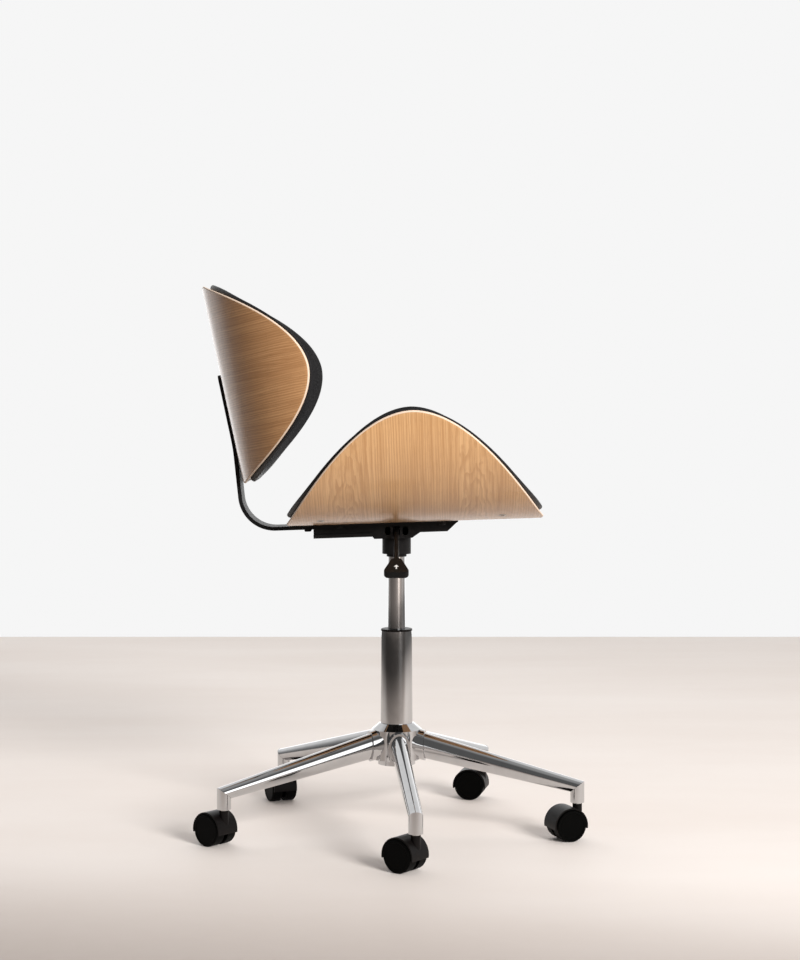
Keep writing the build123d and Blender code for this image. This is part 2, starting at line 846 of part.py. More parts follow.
# Mechanism channel: pressed steel with a stepped floor, slots and ears for the lever's pin
floor_line = [
    (-channel_rear, -channel_rear_depth),
    (-rear_lip_front, -channel_rear_depth),
    (-channel_middle_rear, -mechanism_depth),
    (channel_middle_front, -mechanism_depth),
    (channel_front_rear, -channel_front_depth),
    (channel_front_end, -channel_front_depth),
    (plate_front, 0),
]
floor_slant = (rear_lip_front - channel_middle_rear) / (mechanism_depth - channel_rear_depth)
lip_end = rear_lip_front - floor_slant * rear_lip_thickness
ear_inside = lever_tab_width / 2 + lever_ear_gap
ear_height = lever_pivot_height + lever_pin_diameter / 2 + lever_ear_margin
ear_width = lever_pin_diameter + 2 * lever_ear_margin
pin_axis = Plane(
    origin=(0, -lever_pivot_reach, lever_pivot_height), x_dir=(0, 1, 0), z_dir=(1, 0, 0)
)
rod_fall = tan(radians(lever_rod_slope))
slot_height = lever_pivot_height - rod_fall * (channel_width / 2 - lever_pivot_reach)
with BuildPart() as mech_channel:
    with BuildSketch(channel_side):
        with BuildLine():
            Polyline((-channel_rear, 0), *floor_line, close=True)
        make_face()
    extrude(amount=channel_width / 2, both=True)
    inside_line = [(x, depth + channel_wall) for x, depth in floor_line[:-1]]
    inside_line[0] = (-channel_rear - channel_wall, inside_line[0][1])
    front_slant = (plate_front - channel_front_end) / channel_front_depth
    inside_front = channel_front_end + front_slant * channel_wall - channel_wall
    inside_line[-1] = (inside_front, -channel_front_depth + channel_wall)
    inside_top = inside_front + front_slant * (channel_front_depth - channel_wall)
    with BuildSketch(channel_side):
        with BuildLine():
            Polyline((-channel_rear - channel_wall, 0), *inside_line, (inside_top, 0), close=True)
        make_face()
    extrude(amount=channel_width / 2 - channel_wall, both=True, mode=Mode.SUBTRACT)
    with BuildSketch(plate_bottom.offset(-channel_rear_depth)):
        with Locations((-(channel_rear + lip_end) / 2, 0)):
            Rectangle(channel_rear - lip_end, rear_lip_width)
    extrude(amount=-rear_lip_thickness)
    ear_foot = channel_floor_height + channel_wall / 2
    with BuildSketch(Plane.XY.offset(ear_foot)):
        for ear_middle in (ear_inside + lever_ear / 2, -ear_inside - lever_ear / 2):
            with Locations((ear_middle, -lever_pivot_reach)):
                Rectangle(lever_ear, ear_width)
    extrude(amount=ear_height - ear_foot)
    with BuildSketch(pin_axis):
        Circle(lever_pin_diameter / 2 + press_gap)
    extrude(amount=ear_inside + lever_ear, both=True, mode=Mode.SUBTRACT)
    floor_hole = Plane.XY.offset(taper_block_bottom)
    disc(floor_hole, cylinder_radius + free_gap, taper_block_height + 3 * channel_wall, Mode.SUBTRACT)
    with BuildSketch(Plane.XZ.offset(channel_width / 2 - 2 * channel_wall)):
        with Locations((0, slot_height)):
            Rectangle(lever_slot_width, lever_slot_height)
        with Locations((-wall_slot_spacing / 2, slot_height), (wall_slot_spacing / 2, slot_height)):
            SlotOverall(wall_slot_height, wall_slot_width, rotation=90)
    extrude(amount=3 * channel_wall, mode=Mode.SUBTRACT)
save(mech_channel, "mech_channel")

# Height lever: pivot pin, a bent rod with a flat tab over the valve button, and a paddle
with BuildPart() as lever_pin:
    with BuildSketch(pin_axis):
        Circle(lever_pin_diameter / 2)
    extrude(amount=ear_inside + lever_ear, both=True)
save(lever_pin, "lever_pin")

rod_root = (0, -lever_pivot_reach, lever_pivot_height)
rod_bend_height = lever_pivot_height - rod_fall * (lever_rod_reach - lever_pivot_reach)
rod_bend = (0, -lever_rod_reach, rod_bend_height)
paddle_along = Vector(0, -cos(radians(paddle_slope)), -sin(radians(paddle_slope)))
paddle_up = Vector(0, -sin(radians(paddle_slope)), cos(radians(paddle_slope)))
rod_tip = Vector(*rod_bend) + paddle_along * paddle_socket_depth
rod_start = Plane(origin=rod_root, x_dir=(1, 0, 0), z_dir=Vector(*rod_bend) - Vector(*rod_root))
with BuildPart() as lever_rod:
    with BuildLine() as rod_path:
        FilletPolyline(rod_root, rod_bend, rod_tip, radius=lever_bend_radius)
    with BuildSketch(rod_start):
        Circle(lever_rod_diameter / 2)
    sweep(path=rod_path.line)
    with BuildSketch(Plane.XY.offset(lever_tab_bottom)):
        tab_rear = lever_pivot_reach + lever_pin_diameter / 2 + lever_ear_margin
        with Locations((0, (lever_tab_overlap - tab_rear) / 2)):
            Rectangle(lever_tab_width, lever_tab_overlap + tab_rear)
    extrude(amount=lever_tab_height)
    with BuildSketch(pin_axis):
        Circle(lever_pin_diameter / 2 + running_gap)
    extrude(amount=lever_tab_width, both=True, mode=Mode.SUBTRACT)
save(lever_rod, "lever_rod")

bend_tangent = lever_bend_radius * tan(radians(paddle_slope - lever_rod_slope) / 2)
paddle_root = Vector(*rod_bend) + paddle_along * bend_tangent
paddle_face = Plane(origin=paddle_root, x_dir=(1, 0, 0), z_dir=paddle_up)
with BuildPart() as lever_paddle:
    with BuildSketch(paddle_face):
        with BuildLine():
            Polyline(
                (-paddle_root_width / 2, 0),
                (paddle_root_width / 2, 0),
                (paddle_width / 2, -paddle_shoulder),
                (paddle_width / 2, -paddle_length),
                (-paddle_width / 2, -paddle_length),
                (-paddle_width / 2, -paddle_shoulder),
                close=True,
            )
        make_face()
        fillet(vertices(), radius=paddle_corner)
    extrude(amount=paddle_thickness / 2, both=True)
    paddle_faces = faces().filter_by(paddle_face).sort_by(Axis.Z)
    fillet(paddle_faces[0].edges(), radius=paddle_under_edge)
    fillet(paddle_faces[-1].edges(), radius=paddle_edge)
    with BuildSketch(Plane(origin=rod_bend, x_dir=(1, 0, 0), z_dir=paddle_along)):
        Circle(lever_rod_diameter / 2 + press_gap)
    extrude(amount=paddle_socket_depth + free_gap, mode=Mode.SUBTRACT)
save(lever_paddle, "lever_paddle")

# Back bar: one flat bar bent up behind the seat and bolted to the back
bar_drop = plate_thickness + bar_thickness / 2
bar_leg = Vector(0, 0, seat_underside) - seat_up * bar_drop
bar_foot = bar_leg - seat_along * bar_start
bar_centre = back.centre - back_forward * (bar_thickness / 2)
bar_top = bar_centre + back_along * bar_top_above_middle
bar_knee = bar_centre - back_along * bar_knee_below_middle
lower_lean = Vector(sin(radians(bar_lower_lean)), 0, -cos(radians(bar_lower_lean)))
bar_fall = (bar_knee - bar_leg).dot(seat_up) / -lower_lean.dot(seat_up)
bar_corner_point = bar_knee + lower_lean * bar_fall
back_rear = Plane(origin=back.centre, x_dir=across, z_dir=back_forward)
bar_rear = back_rear.offset(-bar_thickness)
back_bolts_at = [(0, -drop) for drop in back_bolt_drops]
with BuildPart() as back_bar:
    with BuildLine() as bar_path:
        bar_bends = [bar_foot_radius, bar_knee_radius]
        FilletPolyline(bar_foot, bar_corner_point, bar_knee, bar_top, radius=bar_bends)
    with BuildSketch(Plane(origin=bar_foot, x_dir=across, z_dir=seat_along * -1)):
        Rectangle(bar_width, bar_thickness)
    sweep(path=bar_path.line)
    top_edges = back_bar.edges().filter_by(Axis((0, 0, 0), back_forward)).group_by(Axis.Z)[-1]
    fillet(top_edges, radius=bar_corner)
    bolt_holes(plate_bottom, bar_bolts_at, -2 * bar_thickness, bolt_hole_radius)
    bolt_holes(back_rear, back_bolts_at, -2 * bar_thickness, bolt_hole_radius)
    bolt_holes(bar_rear, back_bolts_at, sunk_head_height, sunk_head_diameter / 2 + bolt_gap)
save(back_bar, "back_bar")

# Shells and pads
screw_way = seat_flat + radians(pad_screw_angle) * seat_bend_radius
screw_planes = []
for side in (-1, 1):
    screw_point, screw_normal = seat.station(side * screw_way, 0)
    for forward in (seat_half_length - pad_screw_front_inset, pad_screw_rear_inset - seat_half_length):
        screw_planes.append(Plane(origin=screw_point + seat_along * forward, z_dir=screw_normal))

with BuildPart() as seat_shell:
    formed_shell(seat)
    tee_nut_holes(underside, seat_bolts_at)
    for plane in screw_planes:
        disc(plane, pad_screw_head_diameter / 2 + press_gap, pad_screw_head_height, Mode.SUBTRACT)
        disc(plane, pad_screw_diameter / 2 + press_gap, 2 * ply_thickness, Mode.SUBTRACT)
save(seat_shell, "seat_shell")

with BuildPart() as seat_pad:
    formed_pad(seat)
    for plane in screw_planes:
        disc(plane, pad_screw_diameter / 2 + press_gap, pad_screw_length + free_gap, Mode.SUBTRACT)
save(seat_pad, "seat_pad")

with BuildPart() as back_shell:
    formed_shell(back)
    tee_nut_holes(back_rear, back_bolts_at)
save(back_shell, "back_shell")

with BuildPart() as back_pad:
    formed_pad(back)
save(back_pad, "back_pad")

# Fasteners
with BuildPart() as pad_screws:
    for plane in screw_planes:
        disc(plane, pad_screw_head_diameter / 2, pad_screw_head_height)
        disc(plane, pad_screw_diameter / 2, pad_screw_length)
save(pad_screws, "pad_screws")

nut_reach = ply_thickness - bolt_end_gap
with BuildPart() as plate_bolts:
    bolt(plate_bottom, plate_bolts_at, plate_thickness, nut_reach)
save(plate_bolts, "plate_bolts")

with BuildPart() as bar_bolts:
    bar_underside = plate_bottom.offset(-bar_thickness)
    bolt(bar_underside, bar_bolts_at, bar_thickness + plate_thickness, nut_reach)
save(bar_bolts, "bar_bolts")

with BuildPart() as back_bolts:
    sunk_grip = bar_thickness - sunk_head_height
    sunk_seat = bar_rear.offset(sunk_head_height)
    bolt(sunk_seat, back_bolts_at, sunk_grip, nut_reach, sunk_head_diameter / 2, sunk_head_height)
save(back_bolts, "back_bolts")

with BuildPart() as seat_tee_nuts:
    tee_nuts(underside, seat_bolts_at)
save(seat_tee_nuts, "seat_tee_nuts")

with BuildPart() as back_tee_nuts:
    tee_nuts(back_rear, back_bolts_at)
save(back_tee_nuts, "back_tee_nuts")
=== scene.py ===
"""Looks of a swivel desk chair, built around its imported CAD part.

Metres, in the part's own frame: +Z up, the chair faces +X, origin on the floor at the column.
"""
import math

import bmesh
import bpy
import numpy as np
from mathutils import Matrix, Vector


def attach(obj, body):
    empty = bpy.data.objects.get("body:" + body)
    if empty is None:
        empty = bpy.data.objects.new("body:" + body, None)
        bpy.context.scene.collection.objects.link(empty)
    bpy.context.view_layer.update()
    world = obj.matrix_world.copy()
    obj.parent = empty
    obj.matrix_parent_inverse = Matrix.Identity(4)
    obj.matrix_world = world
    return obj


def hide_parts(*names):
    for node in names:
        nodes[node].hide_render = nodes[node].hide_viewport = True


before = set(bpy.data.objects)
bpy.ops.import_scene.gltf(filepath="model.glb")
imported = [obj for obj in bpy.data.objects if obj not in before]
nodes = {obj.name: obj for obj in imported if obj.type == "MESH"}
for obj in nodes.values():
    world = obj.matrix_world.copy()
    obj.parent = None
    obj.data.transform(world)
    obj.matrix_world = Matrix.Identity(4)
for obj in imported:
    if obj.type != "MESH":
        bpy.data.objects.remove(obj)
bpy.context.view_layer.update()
scene = bpy.context.scene


# Node trees written as expressions

class Wire:
    """A node's output socket; sums on it add Math nodes to its tree."""

    def __init__(self, tree, socket):
        self.tree = tree
        self.socket = socket

    def math(self, operation, *others, swapped=False):
        terms = [self, *others]
        if swapped:
            terms.reverse()
        return self.tree.node("ShaderNodeMath", {"operation": operation}, dict(enumerate(terms)))

    def __add__(self, other):
        return self.math("ADD", other)

    def __radd__(self, other):
        return self.math("ADD", other, swapped=True)

    def __sub__(self, other):
        return self.math("SUBTRACT", other)

    def __rsub__(self, other):
        return self.math("SUBTRACT", other, swapped=True)

    def __mul__(self, other):
        return self.math("MULTIPLY", other)

    def __rmul__(self, other):
        return self.math("MULTIPLY", other, swapped=True)

    def __truediv__(self, other):
        return self.math("DIVIDE", other)

    def __rtruediv__(self, other):
        return self.math("DIVIDE", other, swapped=True)

    def __pow__(self, other):
        return self.math("POWER", other)

    def __abs__(self):
        return self.math("ABSOLUTE")

    def out(self, name):
        """Another output of the same node."""
        return Wire(self.tree, self.socket.node.outputs[name])


class Tree:
    """A node tree, to which node() adds any node."""

    def __init__(self, nodes_of):
        self.nodes_of = nodes_of
        nodes_of.nodes.clear()

    def node(self, kind, settings=None, inputs=None, output=0):
        made = self.nodes_of.nodes.new(kind)
        for name, value in (settings or {}).items():
            setattr(made, name, value)
        for name, value in (inputs or {}).items():
            socket = made.inputs[name]
            if isinstance(value, Wire):
                self.nodes_of.links.new(value.socket, socket)
            else:
                socket.default_value = value
        if len(made.outputs) == 0:
            return None
        return Wire(self, made.outputs[output])

    def step(self, value, low, high, to_low=0.0, to_high=1.0):
        """Value mapped from low..high to to_low..to_high, smooth and held at the ends."""
        return self.node(
            "ShaderNodeMapRange",
            {"interpolation_type": "SMOOTHSTEP"},
            {
                "Value": value,
                "From Min": low,
                "From Max": high,
                "To Min": to_low,
                "To Max": to_high,
            },
        )

    def mix(self, factor, first, second):
        """Two colours mixed. The node's sockets go by number, because their names repeat."""
        first = first if isinstance(first, Wire) else (*first, 1)
        second = second if isinstance(second, Wire) else (*second, 1)
        settings = {"data_type": "RGBA", "blend_type": "MIX", "clamp_result": True}
        return self.node("ShaderNodeMix", settings, {0: factor, 6: first, 7: second}, output=2)

    def axes(self, vector):
        """A vector's X; out() gives its Y and Z."""
        return self.node("ShaderNodeSeparateXYZ", None, {0: vector})

    def vector_value(self, operation, first, second):
        """A number worked out from two vectors."""
        return self.node(
            "ShaderNodeVectorMath", {"operation": operation}, {0: first, 1: second}, "Value"
        )

    def stretch(self, vector, scale, turn=(0, 0, 0)):
        return self.node("ShaderNodeMapping", None, {0: vector, "Scale": scale, "Rotation": turn})

    def noise(self, vector, scale, detail, roughness=0.5, distortion=0.0):
        return self.node(
            "ShaderNodeTexNoise",
            None,
            {
                "Vector": vector,
                "Scale": scale,
                "Detail": detail,
                "Roughness": roughness,
                "Distortion": distortion,
            },
        )

    def bump(self, height, distance, strength):
        return self.node(
            "ShaderNodeBump",
            None,
            {"Height": height, "Distance": distance, "Strength": strength},
        )


class Finish(Tree):
    """A material whose surface is one Principled shader; sockets that don't vary are set first."""

    def __init__(self, name, **fixed):
        self.material = bpy.data.materials.new(name)
        self.material.use_nodes = True
        super().__init__(self.material.node_tree)
        place = self.node("ShaderNodeTexCoord")
        self.place = place.out("Object")
        self.map = place.out("UV")
        self.shader = self.nodes_of.nodes.new("ShaderNodeBsdfPrincipled")
        for socket, value in fixed.items():
            self.shader.inputs[socket.replace("_", " ")].default_value = value
        output = self.nodes_of.nodes.new("ShaderNodeOutputMaterial")
        self.nodes_of.links.new(self.shader.outputs[0], output.inputs["Surface"])

    def surface(self, **varying):
        """Link what changes over the surface, and give the material."""
        for socket, wire in varying.items():
            self.nodes_of.links.new(wire.socket, self.shader.inputs[socket.replace("_", " ")])
        return self.material

    def map_axes(self):
        """The two axes of the piece's own map."""
        axes = self.axes(self.map)
        return axes, axes.out("Y")


# Finishes

def chrome_finish(name, tone, smooth, rough, drawn=1):
    """Polished chrome with faint smears; drawn stretches them along the Z axis."""
    chrome = Finish(name, Metallic=1.0)
    along = chrome.stretch(chrome.place, (1, 1, 1 / drawn))
    smears = chrome.noise(along, 34, 4, 0.6)
    fine = chrome.noise(along, 420, 2)
    haze = chrome.step(smears, 0.42, 0.72)
    tint = chrome.mix(haze, tone, tuple(0.93 * part for part in tone))
    worn = smooth + (rough - smooth) * haze + 0.02 * fine
    waves = chrome.noise(chrome.place, 16, 1)
    return chrome.surface(
        Base_Color=tint, Roughness=worn, Normal=chrome.bump(waves, 0.0004, 0.25)
    )


def painted_steel_finish():
    """Black powder coat: fine orange peel, duller where it was handled."""
    paint = Finish("black_powder_coat", IOR=1.5, Specular_IOR_Level=0.16)
    peel = paint.noise(paint.place, 900, 2)
    cloud = paint.noise(paint.place, 22, 4, 0.6)
    handled = paint.step(cloud, 0.35, 0.7)
    tint = paint.mix(handled, (0.008, 0.0075, 0.0075), (0.015, 0.014, 0.014))
    dull = 0.36 + 0.16 * cloud + 0.05 * peel
    return paint.surface(Base_Color=tint, Roughness=dull, Normal=paint.bump(peel, 0.0003, 0.5))


def nylon_finish(name, tone, dullness, scuffs, shine):
    """Moulded black nylon with a fine mould texture and pale scuffs."""
    nylon = Finish(name, IOR=1.5, Specular_IOR_Level=shine)
    grain = nylon.noise(nylon.place, 1600, 2)
    flow = nylon.noise(nylon.place, 60, 3)
    marks = nylon.noise(nylon.stretch(nylon.place, (260, 260, 40)), 1, 4, 0.7)
    scuffed = nylon.step(marks, 0.66, 0.8) * scuffs
    tint = nylon.mix(scuffed, tone, tuple(part + 0.03 for part in tone))
    dull = dullness + 0.1 * flow + 0.2 * scuffed
    return nylon.surface(Base_Color=tint, Roughness=dull, Normal=nylon.bump(grain, 0.00015, 0.35))


def oak_finish(name, ring_step, heart, arch, waviness, tones):
    """Lacquered oak veneer: lines along the map's Y, and arched figures over two hearts."""
    heart_offset = 0.004
    figure_width = 0.026
    core = 0.00006
    oak = Finish(name, IOR=1.5, Coat_Weight=1.0, Coat_Roughness=0.22)
    across, along = oak.map_axes()
    sway = oak.noise(oak.stretch(oak.map, (9, 5, 1)), 1, 2, 0.5) - 0.5
    wobble = oak.noise(oak.stretch(oak.map, (48, 20, 1)), 1, 2, 0.5) - 0.5
    spread = oak.noise(oak.stretch(oak.map, (90, 0.6, 1)), 1, 2, 0.6) - 0.5
    from_heart = abs(abs(across + heart_offset) - heart)
    figure = (0.0 - (from_heart / figure_width) ** 2.0).math("EXPONENT")
    ring = (from_heart * from_heart + core) ** 0.5
    ring = ring + figure * (arch * abs(along) + 0.014 * wobble)
    ring = ring + waviness * sway + 0.007 * spread
    phase = (ring / ring_step).math("FRACT")
    late = oak.step(phase, 0.2, 0.85) * oak.step(phase, 0.9, 1.0, 1.0, 0.0)
    fibres = oak.noise(oak.stretch(oak.map, (950, 8, 1)), 1, 2, 0.5)
    streaks = oak.noise(oak.stretch(oak.map, (240, 2.4, 1)), 1, 2, 0.55)
    broad = oak.noise(oak.stretch(oak.map, (24, 2, 1)), 1, 3, 0.55)
    pores = oak.noise(oak.stretch(oak.map, (1700, 38, 1)), 1, 2, 0.6)
    pore = oak.step(pores, 0.57, 0.68) * (1.0 - 0.5 * late)
    light, pale, dark, pore_tone = tones
    wood = oak.mix(0.68 * late, pale, dark)
    wood = oak.mix(0.5 * oak.step(streaks, 0.44, 0.64), wood, dark)
    wood = oak.mix(0.3 * oak.step(broad, 0.4, 0.68), wood, dark)
    wood = oak.mix(0.4 * oak.step(fibres, 0.5, 0.66), wood, light)
    wood = oak.mix(0.4 * pore, wood, pore_tone)
    relief = 1.0 - 0.7 * pore - 0.15 * late
    return oak.surface(
        Base_Color=wood,
        Roughness=0.4 + 0.14 * pore + 0.06 * broad,
        Normal=oak.bump(relief, 0.00016, 0.45),
    )


def ply_edge_finish():
    """Sawn and sanded plywood edge: the map's Y runs through the plies."""
    edge = Finish("plywood_edge", IOR=1.5, Coat_Weight=0.15, Coat_Roughness=0.3)
    layer_thickness = 0.0015
    through = edge.map_axes()[1]
    fibres = edge.noise(edge.stretch(edge.map, (120, 1400, 1)), 1, 3, 0.6)
    layer = through / layer_thickness + (fibres - 0.5) * 0.25
    share = layer.math("FRACT")
    odd = ((layer.math("FLOOR") * 0.5).math("FRACT") * 2.0).math("ROUND")
    glue = edge.step(abs(share - 0.5), 0.4, 0.49)
    wood = edge.mix(odd, (0.77, 0.59, 0.45), (0.67, 0.49, 0.36))
    wood = edge.mix(0.4 * edge.step(fibres, 0.5, 0.75), wood, (0.52, 0.34, 0.21))
    wood = edge.mix(0.5 * glue, wood, (0.3, 0.17, 0.1))
    return edge.surface(
        Base_Color=wood,
        Roughness=0.5 + 0.15 * fibres,
        Normal=edge.bump(1.0 - 0.6 * glue - 0.3 * fibres, 0.0002, 0.5),
    )


def leather_finish():
    """Black coated leather: pebbled grain, soft creases and puckers along the seam."""
    hide = Finish("black_leather", IOR=1.48, Specular_IOR_Level=0.35)
    wobble = hide.noise(hide.place, 160, 2)
    cells = hide.node(
        "ShaderNodeTexVoronoi",
        {"feature": "DISTANCE_TO_EDGE"},
        {"Vector": hide.place, "Scale": 640.0, "Randomness": 1.0},
    )
    pebble = hide.step(cells + 0.12 * (wobble - 0.5), 0.0, 0.28)
    creases = hide.noise(hide.place, 48, 5, 0.62, 0.4)
    crease = hide.step(abs(creases - 0.5), 0.0, 0.05)
    run, inside = hide.map_axes()
    pucker = (run * (2 * math.pi / stitch_pitch)).math("SINE")
    near_seam = hide.step(abs(inside - border_width), 0.0, 0.007, 1.0, 0.0)
    worn = hide.noise(hide.place, 9, 3)
    tint = hide.mix(pebble, (0.006, 0.0058, 0.0062), (0.018, 0.0172, 0.0178))
    relief = 0.5 * pebble + 0.35 * crease + 0.4 * near_seam * pucker
    return hide.surface(
        Base_Color=tint,
        Roughness=0.5 - 0.12 * pebble + 0.1 * (worn - 0.5),
        Normal=hide.bump(relief, 0.0005, 0.5),
    )


def thread_finish():
    """Twisted dark grey sewing thread."""
    thread = Finish("seam_thread", IOR=1.5)
    twist = thread.noise(thread.stretch(thread.place, (1, 1, 1), (0.6, 0.3, 0.5)), 2600, 1)
    tint = thread.mix(twist, (0.012, 0.012, 0.013), (0.05, 0.048, 0.048))
    return thread.surface(
        Base_Color=tint, Roughness=0.55 + 0.2 * twist, Normal=thread.bump(twist, 0.0002, 0.6)
    )


def rubber_finish():
    """Matt black rubber with a dusty bloom."""
    rubber = Finish("bumper_rubber", IOR=1.5)
    bloom = rubber.noise(rubber.place, 70, 4, 0.6)
    tint = rubber.mix(bloom, (0.012, 0.012, 0.012), (0.035, 0.034, 0.033))
    return rubber.surface(
        Base_Color=tint, Roughness=0.7 + 0.2 * bloom, Normal=rubber.bump(bloom, 0.0003, 0.4)
    )


def print_finish():
    """White pad print, thin and a little worn."""
    ink = Finish("white_print", IOR=1.45)
    wear = ink.noise(ink.place, 900, 4, 0.65)
    tint = ink.mix(ink.step(wear, 0.55, 0.75), (0.72, 0.71, 0.69), (0.3, 0.29, 0.28))
    return ink.surface(Base_Color=tint, Roughness=0.45 + 0.2 * wear)


border_width = 0.014
stitch_pitch = 0.0068
arm_numbers = range(1, 6)

chrome = chrome_finish("base_chrome", (0.58, 0.58, 0.585), smooth=0.04, rough=0.09)
cylinder_chrome = chrome_finish(
    "cylinder_chrome", (0.72, 0.72, 0.725), smooth=0.07, rough=0.11, drawn=20
)
bright_steel = chrome_finish("bright_steel", (0.6, 0.59, 0.57), smooth=0.2, rough=0.32)
screw_steel = chrome_finish("screw_steel", (0.36, 0.33, 0.3), smooth=0.28, rough=0.4)
black_steel = painted_steel_finish()
hood_nylon = nylon_finish(
    "hood_nylon", (0.0045, 0.0036, 0.0034), dullness=0.36, scuffs=0.2, shine=0.12
)
wheel_nylon = nylon_finish(
    "wheel_nylon", (0.0006, 0.0006, 0.0005), dullness=0.5, scuffs=0.1, shine=0.06
)
paddle_nylon = nylon_finish(
    "paddle_nylon", (0.006, 0.0056, 0.0054), dullness=0.5, scuffs=0.2, shine=0.16
)
# Tones of the fibres, the early wood, the late wood and the pores
seat_tones = ((0.75, 0.46, 0.23), (0.645, 0.37, 0.172), (0.44, 0.222, 0.087), (0.22, 0.1, 0.038))
back_tones = ((0.72, 0.405, 0.19), (0.6, 0.315, 0.138), (0.38, 0.175, 0.065), (0.18, 0.078, 0.03))
seat_oak = oak_finish(
    "seat_oak_veneer", ring_step=0.0039, heart=0.098, arch=0.09, waviness=0.008, tones=seat_tones
)
back_oak = oak_finish(
    "back_oak_veneer", ring_step=0.0036, heart=0.3, arch=0.0, waviness=0.02, tones=back_tones
)
ply_edge = ply_edge_finish()
leather = leather_finish()
thread = thread_finish()
rubber = rubber_finish()
white_print = print_finish()

node_finishes = {
    chrome: ["base_hub", "arm_end_sockets", "column_tube"] + [f"arm_{n}" for n in arm_numbers],
    cylinder_chrome: ["gas_cylinder", "piston_rod"],
    bright_steel: [
        "caster_stems",
        "bearing_lower_race",
        "bearing_balls",
        "bearing_upper_race",
        "rod_clip",
        "piston",
        "valve_button",
        "lever_pin",
        "pad_screws",
        "seat_tee_nuts",
        "back_tee_nuts",
    ]
    + [f"caster_axle_{n}" for n in arm_numbers],
    black_steel: [
        "taper_socket",
        "mech_plate",
        "mech_channel",
        "back_bar",
        "plate_bolts",
        "bar_bolts",
        "back_bolts",
    ],
    paddle_nylon: ["lever_paddle", "lever_rod"],
    hood_nylon: ["caster_sleeves", "column_collar", "rod_gland"]
    + [f"caster_hood_{n}" for n in arm_numbers],
    wheel_nylon: [f"caster_wheel_{n}{side}" for n in arm_numbers for side in "ab"],
    rubber: ["rubber_bumper"],
    seat_oak: ["seat_shell"],
    back_oak: ["back_shell"],
    leather: ["seat_pad", "back_pad"],
}
for finish, names in node_finishes.items():
    for name in names:
        node_mesh = nodes[name].data
        node_mesh.materials.clear()
        node_mesh.materials.append(finish)


# Bent sheets: the same rule as the part's shells, in metres

ply = 0.012
pad_gap = 0.0004
pad_proud = 0.0045
lip = 0.006
fullness = 1.9
hollow = 1.11
edge_rounding = 0.003


class Sheet:
    """A plywood sheet bent to a wide U across the chair and cut to a curved outline."""

    def __init__(self, centre, tilt, upright, half_length, height, flat, radius, bend):
        cosine, sine = math.cos(math.radians(tilt)), math.sin(math.radians(tilt))
        level, plumb = np.array((cosine, 0, sine)), np.array((-sine, 0, cosine))
        self.centre = np.array(centre)
        self.along, self.rise = (plumb, level) if upright else (level, plumb)
        self.half_length = half_length
        self.height = height
        self.flat = flat
        self.radius = radius
        self.bend = math.radians(bend)

    def outline_height(self, along):
        """Height of the outline at places along the sheet."""
        curve = (1 - np.abs(along / self.half_length) ** fullness) ** hollow
        return lip + (self.height - lip) * curve

    def outline_reach(self, height, proud):
        """How far along the outline goes at a height, for a pad that stands proud of the sheet."""
        level = np.maximum(height - lip, 0) / (self.height + proud - lip)
        level = np.minimum(level, 1)
        return (self.half_length + proud) * (1 - level ** (1 / hollow)) ** (1 / fullness)

    def way_to(self, depth, height):
        """Way from the middle, along a surface depth inside, up to a height."""
        inner = self.radius - depth
        bend_top = depth + inner * (1 - math.cos(self.bend))
        turn = np.arccos(np.clip(1 - (np.minimum(height, bend_top) - depth) / inner, -1, 1))
        straight = np.maximum(height - bend_top, 0) / math.sin(self.bend)
        return self.flat + inner * turn + straight

    def place(self, along, way, depth):
        """Point of the sheet, and its inward normal, for arrays of places."""
        along, way, depth = np.broadcast_arrays(along, way, depth)
        side = np.where(way < 0, -1.0, 1.0)
        inner = self.radius - depth
        turn = np.clip((np.abs(way) - self.flat) / inner, 0, self.bend)
        straight = np.maximum(np.abs(way) - self.flat - inner * self.bend, 0)
        reach = np.minimum(np.abs(way), self.flat) + inner * np.sin(turn) + straight * np.cos(turn)
        climb = depth + inner * (1 - np.cos(turn)) + straight * np.sin(turn)
        across = np.array((0, 1.0, 0))
        point = self.centre + np.multiply.outer(along, self.along)
        point = point + np.multiply.outer(side * reach, across)
        point = point + np.multiply.outer(climb, self.rise)
        normal = np.multiply.outer(-side * np.sin(turn), across)
        normal = normal + np.multiply.outer(np.cos(turn), self.rise)
        return point, normal


seat = Sheet(
    centre=(0.02898, 0, 0.50232),
    tilt=1.88,
    upright=False,
    half_length=0.2,
    height=0.177,
    flat=0.06,
    radius=0.185,
    bend=80,
)
back = Sheet(
    centre=(-0.2745, 0, 0.71587),
    tilt=11.9,
    upright=True,
    half_length=0.1574,
    height=0.147,
    flat=0.031,
    radius=0.195,
    bend=75,
)


def new_piece(name, mesh, finishes):
    """A piece at the origin, with its finishes in the mesh's slots."""
    piece = bpy.data.objects.new(name, mesh)
    scene.collection.objects.link(piece)
    for finish in finishes:
        mesh.materials.append(finish)
    return piece


def turn_out(data):
    """Point a closed mesh's faces outwards and shade them smooth."""
    net = bmesh.new()
    net.from_mesh(data)
    bmesh.ops.recalc_face_normals(net, faces=net.faces)
    for face in net.faces:
        face.smooth = True
    net.to_mesh(data)
    net.free()


